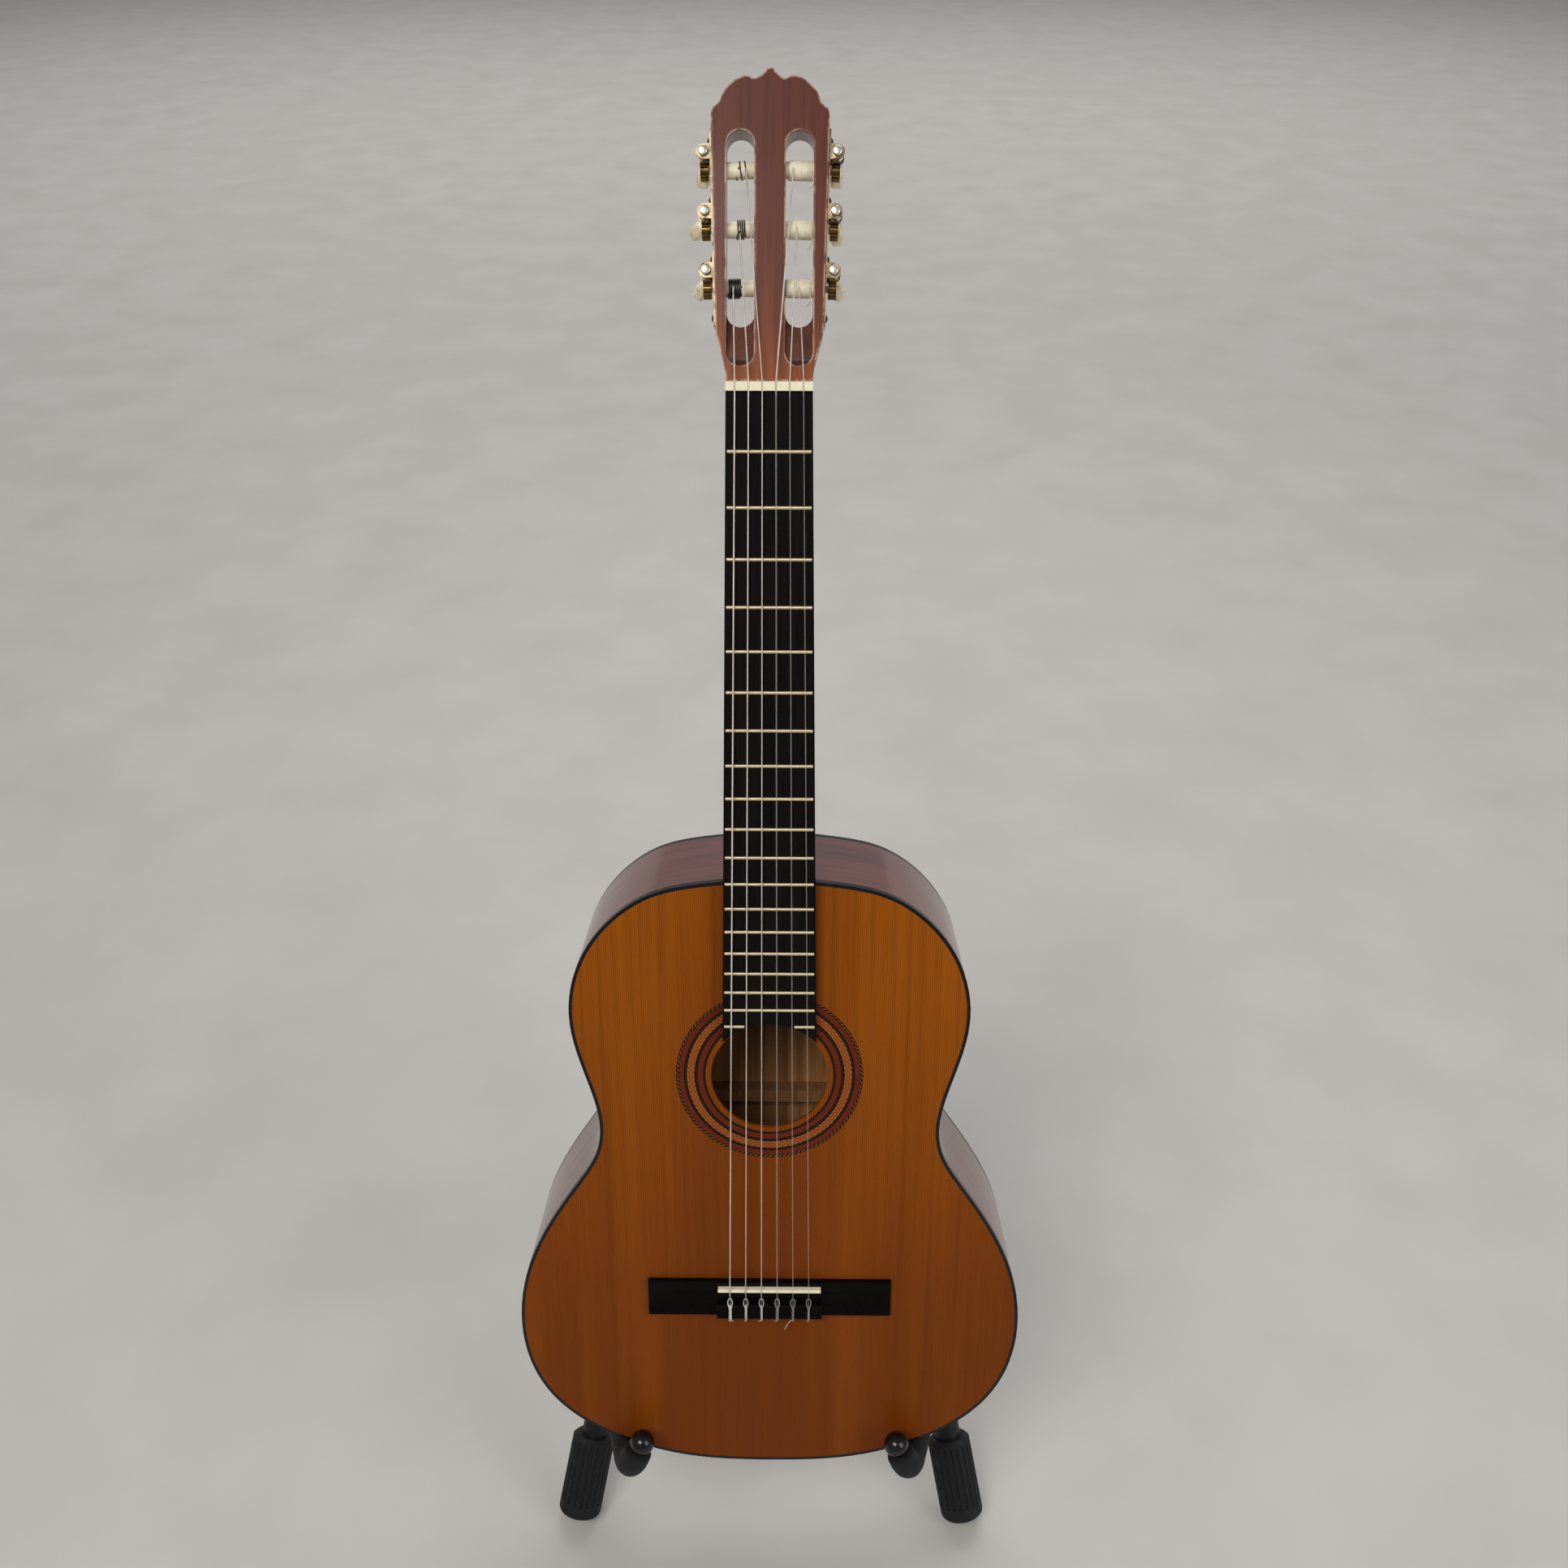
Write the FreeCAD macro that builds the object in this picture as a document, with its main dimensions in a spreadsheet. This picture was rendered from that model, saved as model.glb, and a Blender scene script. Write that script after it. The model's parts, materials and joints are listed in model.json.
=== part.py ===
import FreeCAD, Part

import math
import os

from FreeCAD import Placement, Rotation, Vector

# A classical guitar resting on a low folding floor stand.
#
# Row frame: millimetres, +Z up, +X to the guitar's treble side, the soundboard faces -Y.
# The origin lies on the floor, under the middle of the whole object.
# Guitar frame: origin at the lowest point of the soundboard's outer face, +Z up the neck, +Y into the body.
# Head frame: origin at the nut, on the headplate's face, +Z up the tilted head, +Y through its thickness.

DOC = FreeCAD.newDocument("GuitarOnStand")

SIZES = (
    # place of the guitar
    ("lean_angle", 17, "lean of the guitar back from upright, degrees"),
    ("body_lift", 145, "height of the soundboard's lowest point above the floor"),
    ("front_offset", -161.4, "Y of the soundboard's lowest point"),
    # sound box
    ("body_length", 494, "length of the sound box"),
    ("tail_depth", 100, "depth of the sound box at its lower end"),
    ("shoulder_depth", 95, "depth of the sound box at the neck"),
    ("binding_width", 2.5, "width of the edge binding"),
    ("binding_depth", 5, "depth of the edge binding"),
    ("plate_thickness", 2.5, "thickness of soundboard and back"),
    ("rib_thickness", 2.5, "thickness of the bent ribs"),
    ("lining_width", 6, "width of the inner glue linings"),
    ("lining_depth", 13, "depth of the inner glue linings"),
    ("hole_height", 343, "height of the soundhole's centre"),
    ("hole_radius", 42, "radius of the soundhole"),
    ("rosette_inner_radius", 45.8, "inner radius of the rosette"),
    ("rosette_outer_radius", 67.2, "outer radius of the rosette"),
    ("rosette_depth", 1, "depth of the rosette inlay"),
    ("brace_height", 14, "height of the cross braces"),
    # neck and fingerboard
    ("scale_length", 650, "open string length from nut to octave doubling"),
    ("nut_height", 819, "height of the nut's playing edge"),
    ("nut_width", 53.4, "width of nut and fingerboard at the nut"),
    ("joint_width", 62.8, "width of the fingerboard at the body joint"),
    ("nut_thickness", 5.5, "nut, along the strings"),
    ("nut_rise", 9.4, "nut, above the neck's face"),
    ("fingerboard_thickness", 7, "fingerboard"),
    ("fingerboard_end_radius", 45, "hollow end of the fingerboard, round the soundhole"),
    ("fret_rise", 1, "fret crown above the fingerboard"),
    ("fret_inset", 1.2, "fret ends inside the fingerboard's sides"),
    ("heel_width", 26, "heel at the back of the body"),
    ("heel_cap_thickness", 2, "cap on the heel"),
    # head
    ("head_tilt", 13, "tilt of the head behind the neck, degrees"),
    ("head_step", 2.5, "headplate face above the neck's face at the nut"),
    ("head_thickness", 19, "head with its headplate"),
    ("headplate_thickness", 2, "headplate veneer"),
    ("slot_width", 17, "string slots in the head"),
    ("slot_offset", 18, "slot centre lines from the head's centre line"),
    ("slot_bottom", 34, "lower end of the through slots"),
    ("slot_top", 148, "upper end of the through slots"),
    ("ramp_start", 9, "start of the string ramps"),
    ("ramp_depth", 14, "depth of the string ramps where they meet the slots"),
    # tuning machines
    ("roller_first", 56.5, "height of the lowest rollers on the head"),
    ("roller_pitch", 35, "distance between rollers"),
    ("roller_depth", 9.5, "roller axes behind the headplate's face"),
    ("roller_radius", 5, "string roller"),
    ("roller_reach", 32.5, "roller, inward from the head's side face"),
    ("running_gap", 0.08, "radial clearance of shafts in their bores"),
    ("tuner_plate_length", 116, "side plate"),
    ("tuner_plate_width", 14.4, "side plate"),
    ("tuner_plate_thickness", 1.2, "side plate"),
    ("lug_radius", 4.6, "round lugs that carry the worms"),
    ("spindle_radius", 2, "roller's spindle through plate and gear"),
    ("screw_radius", 1.1, "shanks of the plate screws"),
    ("gear_thickness", 5, "roller gear"),
    ("gear_outer_radius", 6, "roller gear over its teeth"),
    ("gear_root_radius", 4.9, "roller gear between its teeth"),
    ("gear_teeth", 14, "teeth of the roller gear"),
    ("gear_offset", 2.2, "inner face of the gear from the head's side face"),
    ("worm_offset", 5.2, "worm axis from the head's side face"),
    ("worm_rise", 10, "worm axis above the roller axis"),
    ("worm_radius", 3.6, "worm over its thread"),
    ("worm_root_radius", 2.5, "worm under its thread"),
    ("worm_pitch", 2.4, "distance between thread turns"),
    ("shaft_radius", 1.5, "worm shaft"),
    ("button_width", 26, "button, across its shaft"),
    ("button_length", 16, "button, along its shaft"),
    ("button_thickness", 8, "button"),
    # bridge
    ("bridge_bottom", 140.5, "lower edge of the bridge"),
    ("bridge_length", 183, "bridge, side to side"),
    ("bridge_width", 30, "bridge, along the strings"),
    ("bridge_wing_rise", 4, "bridge wings above the soundboard"),
    ("wing_dish_radius", 60, "hollow along the top of a bridge wing"),
    ("wing_dish_depth", 1.4, "hollow along the top of a bridge wing"),
    ("bridge_block_length", 79, "middle block of the bridge, side to side"),
    ("tie_block_width", 12, "tie block, along the strings"),
    ("tie_block_rise", 9.5, "tie block above the soundboard"),
    ("tie_hole_rise", 5.4, "tie holes above the soundboard"),
    ("saddle_length", 77, "saddle, side to side"),
    ("saddle_thickness", 2.8, "saddle"),
    ("saddle_rise", 11.2, "saddle top above the soundboard"),
    ("saddle_height", 166.5, "saddle's place along the body"),
    ("saddle_spacing", 11.8, "string spacing at the saddle"),
    ("nut_spacing", 8.4, "string spacing at the nut"),
    # stand
    ("tube_radius", 11, "stand tube"),
    ("tube_wall", 1.5, "wall of the stand tube"),
    ("foot_spread", 165.5, "front feet from the middle"),
    ("foot_setback", 30, "front feet behind the soundboard's lowest point"),
    ("foot_radius", 18, "rubber foot sleeve"),
    ("foot_length", 70, "rubber foot sleeve"),
    ("foot_base", 8, "rubber under the tube's end"),
    ("foot_rise", 7.5, "centre of a foot's end face above the floor"),
    ("foot_edge", 6, "rounding of a foot's lower edge"),
    ("rear_foot_rise", 6.2, "centre of the rear foot's end face above the floor"),
    ("flute_count", 20, "grooves round a foot sleeve"),
    ("flute_radius", 1.5, "grooves round a foot sleeve"),
    ("frame_knee", 232, "bend of a front leg, along the leg from the foot's end"),
    ("knee_radius", 60, "bend of a front leg"),
    ("frame_shoulder", 101, "inner bends of the front frame from the middle"),
    ("shoulder_radius", 32, "inner bends of the front frame"),
    ("crossbar_height", 245, "crossbar above the floor"),
    ("backrest_radius", 15, "backrest foam"),
    ("backrest_inner", 24, "inner end of a backrest foam from the middle"),
    ("backrest_length", 54, "backrest foam"),
    ("contact_gap", 0.5, "clearance between the guitar and the stand's foam"),
    ("glue_gap", 0.1, "neck and heel cap beside the ribs"),
    ("arm_height", 136, "arm collar, along the leg from the foot's end"),
    ("collar_radius", 15.5, "arm collar"),
    ("collar_length", 24, "arm collar"),
    ("rod_radius", 4, "steel rod of an arm"),
    ("arm_foam_radius", 11, "foam sleeve of an arm"),
    ("arm_bend_radius", 15, "bend of an arm under the body's rim"),
    ("arm_bend_offset", 108.5, "bend of an arm from the guitar's middle"),
    ("arm_bend_front", 16.5, "bend of an arm before the soundboard"),
    ("arm_bend_height", 6.4, "bend of an arm up the guitar"),
    ("ball_radius", 9.5, "ball end of an arm"),
    ("ball_offset", 98.2, "ball end of an arm from the guitar's middle"),
    ("ball_front", 17.9, "ball end of an arm before the soundboard"),
    ("ball_height", 32.5, "ball end of an arm up the guitar"),
    ("hub_width", 38, "clamp at the crossbar's middle"),
    ("hub_wall", 3.2, "ring of the clamp round the crossbar"),
    ("cheek_width", 9, "cheeks that carry the rear leg's pin"),
    ("cheek_radius", 13, "round ends of the cheeks"),
    ("eye_radius", 12, "eye at the rear leg's upper end"),
    ("eye_clearance", 0.6, "eye beside the cheeks"),
    ("hinge_radius", 4, "rear leg's hinge pin"),
    ("hinge_setback", 27, "rear leg's hinge behind the crossbar"),
    ("hinge_drop", 9, "rear leg's hinge below the crossbar"),
    ("pin_head_radius", 7, "heads of the hinge pin"),
    ("pin_head_length", 3, "heads of the hinge pin"),
    ("rear_reach", 283, "rear foot behind the front feet"),
)

SHEET = DOC.addObject("Spreadsheet::Sheet", "Sizes")
for row, (alias, value, meaning) in enumerate(SIZES, start=1):
    SHEET.set(f"A{row}", alias)
    SHEET.set(f"B{row}", str(value))
    SHEET.set(f"C{row}", meaning)
    SHEET.setAlias(f"B{row}", alias)
DOC.recompute()


def size(alias):
    """The sheet's value under this alias."""
    return float(getattr(SHEET, alias))


# Half of the sound box's outline, from the lower end to the neck: distance from the centre line, height.
HALF_OUTLINE = (
    (0, 0), (75, 6.5), (109, 17.6), (137, 32), (171.5, 65.6), (185.8, 100), (189.2, 130), (184.8, 167),
    (168.2, 210), (141.9, 252.2), (125.2, 283.2), (123.3, 300), (129.7, 333.5), (140.3, 372.7),
    (142.1, 393), (134.4, 429.8), (117, 457.6), (95.1, 476.5), (62, 489), (30, 493.4), (0, 494),
)
# Half of the head's outline above its straight sides: distance from the centre line, height.
HALF_CROWN = (
    (35.9, 152), (35.8, 157), (35, 160.1), (32.7, 162.2), (30.5, 164.6), (29.5, 167.5), (27.6, 171),
    (23.5, 175.3), (17.5, 178.8), (13.6, 179.5), (9.4, 177.6), (5.4, 179.8), (2.4, 182.9), (0, 183.7),
)
FRET_COUNT = 19
# String radii from the lowest string to the highest.
STRING_RADII = (0.54, 0.45, 0.38, 0.51, 0.41, 0.36)
# Which roller each string winds on, counted from the nut: bass strings on the left, trebles on the right.
STRING_ROLLERS = (0, 1, 2, 2, 1, 0)
# Where on its roller each string lands, outward from the slot's middle.
STRING_LANDINGS = (5.2, 0.5, -4.2, -4.6, -1.5, 1)
# Turn of each tuning button about its shaft, degrees.
BUTTON_TURNS = (40, 55, 12, -4, -14, -32)

FRONT = Rotation(Vector(1, 0, 0), 90)  # sketch x is X, sketch y is Z
SIDE = Rotation(Vector(1, 1, 1), 120)  # sketch x is Y, sketch y is Z
ALONG_X = Rotation(Vector(0, 1, 0), 90)  # turns +Z to +X
ALONG_Y = Rotation(Vector(1, 0, 0), -90)  # turns +Z to +Y

GUITAR = Placement(
    Vector(0, size("front_offset"), size("body_lift")), Rotation(Vector(1, 0, 0), -size("lean_angle"))
)
HEAD = GUITAR * Placement(
    Vector(0, -size("head_step"), size("nut_height") + size("nut_thickness")),
    Rotation(Vector(1, 0, 0), -size("head_tilt")),
)
BACK_SLOPE = math.degrees(math.atan((size("tail_depth") - size("shoulder_depth")) / size("body_length")))

NODES = []


# ------------------------------------------------------------------ drawing helpers


def bind(item, **sizes):
    """Set properties: a text is an expression on the sheet, a number is plain."""
    for name, value in sizes.items():
        if isinstance(value, str):
            item.setExpression(name, value)
        else:
            setattr(item, name, value)


def node(item, label, frame=Placement()):
    """Finish a sub-part: its label names its file, its placement is the frame it was drawn in."""
    item.Label = label
    item.Placement = frame
    NODES.append(item)
    return item


def polygon(points):
    """Closed outline of straight edges."""
    corners = [Vector(x, y, 0) for x, y in points]
    return [Part.LineSegment(a, b) for a, b in zip(corners, corners[1:] + corners[:1])]


def circle(radius, x=0.0, y=0.0):
    return Part.Circle(Vector(x, y, 0), Vector(0, 0, 1), radius)


def smooth_curve(points, start, end):
    """Curve through the points that leaves and arrives along the given directions."""
    curve = Part.BSplineCurve()
    curve.interpolate(Points=points, InitialTangent=start, FinalTangent=end)
    return curve


def half_outline(inset):
    """Right half of the sound box's outline, moved inward by the inset."""
    right, left = Vector(1, 0, 0), Vector(-1, 0, 0)
    edge = smooth_curve([Vector(x, z, 0) for x, z in HALF_OUTLINE], right, left)
    if inset == 0:
        return edge
    moved = []
    for point in edge.discretize(Number=41):
        along = edge.tangent(edge.parameter(point))[0]
        moved.append(point + Vector(-along.y, along.x, 0) * inset)
    moved[0].x = moved[-1].x = 0
    return smooth_curve(moved, right, left)


def outline(inset):
    """The whole outline of the sound box, moved inward by the inset."""
    right = half_outline(inset)
    left = right.copy()
    left.mirror(Vector(0, 0, 0), Vector(0, 1, 0))
    return [right, left]


def outline_beside(gap):
    """The whole outline, moved up the guitar by a gap, so that the neck's foot stays off the ribs."""
    curves = outline(0)
    for curve in curves:
        curve.translate(Vector(0, gap, 0))
    return curves


def sketch(name, curves, turn=FRONT, at=Vector()):
    item = DOC.addObject("Sketcher::SketchObject", name)
    item.Placement = Placement(at, turn)
    for curve in curves:
        item.addGeometry(curve, False)
    return item


def extrude(name, profile, length, direction=Vector(0, 1, 0)):
    item = DOC.addObject("Part::Extrusion", name)
    item.Base = profile
    item.DirMode = "Custom"
    item.Dir = direction
    item.Solid = True
    bind(item, LengthFwd=length)
    return item


def prism(name, curves, start, depth):
    """Solid on a front-plane outline, from Y = start and depth deep."""
    return extrude(name, sketch(name + "_outline", curves, at=Vector(0, start, 0)), depth)


def box(name, corner, length, width, height, turn=Rotation()):
    item = DOC.addObject("Part::Box", name)
    bind(item, Length=length, Width=width, Height=height)
    item.Placement = Placement(corner, turn)
    return item


def centred_box(name, centre, spans, frame=Placement()):
    """Box about a centre; spans are its full sizes along X, Y and Z of the frame."""
    item = DOC.addObject("Part::Box", name)
    bind(item, Length=spans[0], Width=spans[1], Height=spans[2])
    item.Placement = frame * Placement(centre - Vector(*spans) * 0.5, Rotation())
    return item


def cylinder(name, radius, height, base=Vector(), turn=Rotation(), frame=Placement()):
    item = DOC.addObject("Part::Cylinder", name)
    bind(item, Radius=radius, Height=height)
    item.Placement = frame * Placement(base, turn)
    return item


def fuse(name, *items):
    item = DOC.addObject("Part::MultiFuse", name)
    item.Shapes = list(items)
    return item


def group(name, *items):
    item = DOC.addObject("Part::Compound", name)
    item.Links = list(items)
    return item


def cut(name, base, *tools):
    item = DOC.addObject("Part::Cut", name)
    item.Base = base
    item.Tool = tools[0] if len(tools) == 1 else group(name + "_tools", *tools)
    return item


def common(name, *items):
    item = DOC.addObject("Part::MultiCommon", name)
    item.Shapes = list(items)
    return item


def body(name):
    return DOC.addObject("PartDesign::Body", name)


def body_sketch(owner, plane, name, curves, offset=0.0):
    """Sketch on one of the body's own origin planes, moved along the plane's normal."""
    item = owner.newObject("Sketcher::SketchObject", name)
    support = next(f for f in owner.Origin.OriginFeatures if f.Role == plane)
    item.AttachmentSupport = (support, [""])
    item.MapMode = "FlatFace"
    item.AttachmentOffset = Placement(Vector(0, 0, offset), Rotation())
    for curve in curves:
        item.addGeometry(curve, False)
    return item


def feature(owner, kind, profile, **sizes):
    """Pad, Pocket or Revolution of the body from a sketch."""
    item = owner.newObject("PartDesign::" + kind, profile.Name + kind)
    item.Profile = profile
    bind(item, **sizes)
    return item


def revolve(owner, profile):
    item = feature(owner, "Revolution", profile, Angle=360.0)
    item.ReferenceAxis = (profile, ["V_Axis"])
    return item


def polar(owner, original, count):
    """Repeat a feature about the normal of its own sketch."""
    item = owner.newObject("PartDesign::PolarPattern", original.Name + "Ring")
    item.Originals = [original]
    item.Axis = (original.Profile[0], ["N_Axis"])
    bind(item, Angle=360.0, Occurrences=count)
    owner.Tip = item
    return item


def bent_route(points, radii):
    """Wire of straight runs joined by tangent arcs, one radius for each inner point."""
    edges = []
    here = points[0]
    for before, corner, after, radius in zip(points, points[1:], points[2:], radii):
        back = (before - corner).normalize()
        ahead = (after - corner).normalize()
        half = back.getAngle(ahead) / 2
        reach = radius / math.tan(half)
        middle = (back + ahead).normalize() * (radius / math.sin(half) - radius)
        edges.append(Part.makeLine(here, corner + back * reach))
        here = corner + ahead * reach
        edges.append(Part.Arc(corner + back * reach, corner + middle, here).toShape())
    edges.append(Part.makeLine(here, points[-1]))
    return Part.Wire(edges)


def tube_shape(route, radius):
    """Round bar along a route."""
    start = route.Edges[0]
    section = Part.Wire(Part.makeCircle(radius, start.valueAt(0), start.tangentAt(0)))
    return route.makePipeShell([section], True, False)


def shaped(name, shape):
    """Sub-part whose shape is set directly."""
    item = DOC.addObject("Part::Feature", name)
    item.Shape = shape
    return item


# ------------------------------------------------------------------ sound box


def back_layer(name, near, far):
    """Slab parallel to the back, between two depths measured forward from its outer face."""
    reach = size("body_length") + 200
    width = 2 * reach
    turn = Rotation(Vector(1, 0, 0), BACK_SLOPE)
    corner = Vector(0, size("tail_depth"), 0) + turn.multVec(Vector(-reach, -far, -100))
    return box(name, corner, width, far - near, reach, turn)


def make_soundboard():
    board = body("soundboard_body")
    curves = outline(size("binding_width")) + [circle(size("hole_radius"), 0, size("hole_height"))]
    feature(
        board, "Pad", body_sketch(board, "XZ_Plane", "soundboard_plan", curves),
        Length="Sizes.plate_thickness", Reversed=True,
    )
    ring = body_sketch(board, "XZ_Plane", "rosette_channel", rosette_rings())
    feature(board, "Pocket", ring, Length="Sizes.rosette_depth")
    node(board, "soundboard", GUITAR)


def rosette_rings():
    height = size("hole_height")
    return [circle(size("rosette_inner_radius"), 0, height), circle(size("rosette_outer_radius"), 0, height)]


def make_rosette():
    inlay = body("rosette_body")
    ring = body_sketch(inlay, "XZ_Plane", "rosette_ring", rosette_rings())
    feature(inlay, "Pad", ring, Length="Sizes.rosette_depth", Reversed=True)
    node(inlay, "rosette", GUITAR)


def make_bindings():
    edge = outline(0) + outline(size("binding_width"))
    front = prism("front_binding", edge, 0, "Sizes.binding_depth")
    band = prism("back_binding_band", edge, size("shoulder_depth") / 2, "Sizes.tail_depth")
    back = common("back_binding", band, back_layer("back_binding_layer", 0, size("binding_depth")))
    node(group("bindings_group", front, back), "bindings", GUITAR)


def make_ribs():
    wall = outline(0) + outline(size("rib_thickness"))
    height = size("body_length") + 20
    for label, left_edge in (("rib_left", -200), ("rib_right", 0)):
        band = prism(label + "_band", wall, size("binding_depth"), "Sizes.tail_depth")
        side = box(label + "_side", Vector(left_edge, 0, -10), 200, "Sizes.tail_depth", height)
        layer = back_layer(label + "_layer", size("binding_depth"), size("tail_depth") + 50)
        node(common(label + "_common", band, side, layer), label, GUITAR)


def make_back_plate():
    slab = prism("back_slab", outline(size("binding_width")), size("shoulder_depth") / 2, "Sizes.tail_depth")
    layer = back_layer("back_plate_layer", 0, size("plate_thickness"))
    node(common("back_plate_common", slab, layer), "back_plate", GUITAR)


def make_linings():
    inner = size("binding_width")
    strip = outline(inner) + outline(inner + size("lining_width"))
    front = prism("front_lining", strip, size("plate_thickness"), "Sizes.lining_depth")
    band = prism("back_lining_band", strip, size("shoulder_depth") / 2, "Sizes.tail_depth")
    near = size("plate_thickness")
    back = common("back_lining", band, back_layer("back_lining_layer", near, near + size("lining_depth")))
    node(group("linings_group", front, back), "linings", GUITAR)


def make_end_blocks():
    """Tail block and neck foot, the two blocks that close the sound box inside."""
    lining_end = size("plate_thickness") + size("lining_depth")
    blocks = []
    top = size("body_length")
    for name, low, high in (("tail_block", 0, 22), ("neck_foot", top - 28, top)):
        room = prism(name + "_room", outline(size("rib_thickness")), lining_end, "Sizes.tail_depth")
        span = box(name + "_span", Vector(-32, 0, low), 64, "Sizes.tail_depth", high - low)
        layer = back_layer(name + "_layer", lining_end, size("tail_depth") + 50)
        blocks.append(common(name, room, span, layer))
    node(group("end_blocks_group", *blocks), "end_blocks", GUITAR)


def make_braces():
    """Cross braces and fan struts under the soundboard, and cross braces on the back."""
    clear_of_linings = size("binding_width") + size("lining_width") + 0.5
    top = size("plate_thickness")
    bars = []
    for name, height in (("lower_harmonic_bar", 285), ("upper_harmonic_bar", 402)):
        bars.append(box(name, Vector(-200, top, height - 4), 400, "Sizes.brace_height", 8))
    for index in range(-2, 3):
        turn = Rotation(Vector(0, 1, 0), -9 * index)
        foot = Vector(42 * index, top, 66 + 3 * index * index)
        bars.append(box(f"fan_strut_{index + 3}", foot, 5, 5, 205, turn))
    front_room = prism("front_brace_room", outline(clear_of_linings), top, "Sizes.brace_height")
    front = common("soundboard_braces", front_room, fuse("soundboard_bars", *bars))
    back_bars = [
        box(f"back_bar_{height}", Vector(-200, 40, height - 5), 400, "Sizes.tail_depth", 10)
        for height in (120, 279, 415)
    ]
    middle = size("shoulder_depth") / 2
    back_room = prism("back_brace_room", outline(clear_of_linings), middle, "Sizes.tail_depth")
    layer = back_layer("back_brace_layer", top, top + size("brace_height"))
    back = common("back_braces", back_room, layer, fuse("back_bars", *back_bars))
    node(group("braces_group", front, back), "braces", GUITAR)


# ------------------------------------------------------------------ neck


def board_width(height):
    """Width of neck and fingerboard at a height up the guitar."""
    nut, joint = size("nut_height"), size("body_length")
    share = (nut - height) / (nut - joint)
    return size("nut_width") + share * (size("joint_width") - size("nut_width"))


def dome(half_width, base, rise, fullness=1.0):
    """Round closing curve from +half_width to -half_width, rising above the base height."""
    points = []
    for step in range(9):
        angle = math.pi * step / 8
        along, up = math.cos(angle), math.sin(angle)
        points.append(Vector(half_width * math.copysign(abs(along) ** fullness, along), base + rise * up, 0))
    return smooth_curve(points, Vector(0, 1, 0), Vector(0, -1, 0))


def d_section(half_width, base, side, rise, fullness=1.0):
    """Flat-based section with straight sides and a round far side."""
    low_right, low_left = Vector(half_width, base, 0), Vector(-half_width, base, 0)
    high_right, high_left = Vector(half_width, base + side, 0), Vector(-half_width, base + side, 0)
    return [
        Part.LineSegment(low_left, low_right),
        Part.LineSegment(low_right, high_right),
        dome(half_width, base + side, rise, fullness),
        Part.LineSegment(high_left, low_left),
    ]


def loft(name, sections, ruled=False):
    item = DOC.addObject("Part::Loft", name)
    item.Sections = sections
    item.Solid = True
    item.Ruled = ruled
    return item


def make_neck():
    top = size("nut_height") + size("nut_thickness")
    shaft_sections = []
    # height up the guitar, straight side, total depth of the shaft
    stations = (
        (top, 12.5, 17), (top - 12, 9, 16.2), (top - 24, 6, 15.4), (top - 40, 4, 15),
        (size("body_length"), 4, 17.5),
    )
    for index, (height, side, depth) in enumerate(stations):
        curves = d_section(board_width(height) / 2, 0, side, depth - side)
        shaft_sections.append(sketch(f"neck_section_{index}", curves, Rotation(), Vector(0, 0, height)))
    shaft = loft("neck_shaft", shaft_sections, ruled=True)

    inside = size("body_length") - 34
    cap_face = size("shoulder_depth") - size("heel_cap_thickness")
    heel_sections = []
    # depth behind the soundboard's plane, half width, reach out of the body
    levels = ((9, 29, 74), (20, 26.5, 42), (38, 21, 25), (64, 15, 18), (cap_face, size("heel_width") / 2, 16))
    for index, (depth, half, reach) in enumerate(levels):
        curves = d_section(half, inside, size("body_length") - inside, reach)
        heel_sections.append(sketch(f"heel_section_{index}", curves, at=Vector(0, depth, 0)))
    sound_box = prism("neck_trim", outline_beside(size("glue_gap")), -1, "Sizes.tail_depth + 20")
    heel = cut("neck_heel_cut", loft("neck_heel", heel_sections), sound_box)
    node(fuse("neck_solid", shaft, heel), "neck", GUITAR)


def make_heel_cap():
    height = size("body_length")
    curves = d_section(size("heel_width") / 2, height - 10, 10, 16)
    thickness = size("heel_cap_thickness")
    cap = prism("heel_cap_plan", curves, size("shoulder_depth") - thickness, "Sizes.heel_cap_thickness")
    trim = prism("heel_cap_trim", outline_beside(size("glue_gap")), 60, "Sizes.tail_depth")
    node(cut("heel_cap_cut", cap, trim), "heel_cap", GUITAR)


def fret_height(number):
    """Height of a fret up the guitar, by equal temperament."""
    return size("nut_height") - size("scale_length") * (1 - 2 ** (-number / 12))


def make_fingerboard():
    low = size("hole_height")
    top = size("nut_height")
    wide, narrow = board_width(low) / 2, board_width(top) / 2
    plan = [(-wide, low), (wide, low), (narrow, top), (-narrow, top)]
    thickness = size("fingerboard_thickness")
    slab = prism("fingerboard_slab", polygon(plan), -thickness, "Sizes.fingerboard_thickness")
    centre = Vector(0, -10, size("hole_height"))
    tools = [cylinder("fingerboard_end", "Sizes.fingerboard_end_radius", 20, centre, ALONG_Y)]
    for number in range(1, FRET_COUNT + 1):
        corner = Vector(-40, -thickness, fret_height(number) - 0.28)
        tools.append(box(f"fret_slot_{number}", corner, 80, 2, 0.56))
    node(cut("fingerboard_cut", slab, *tools), "fingerboard", GUITAR)


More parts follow.
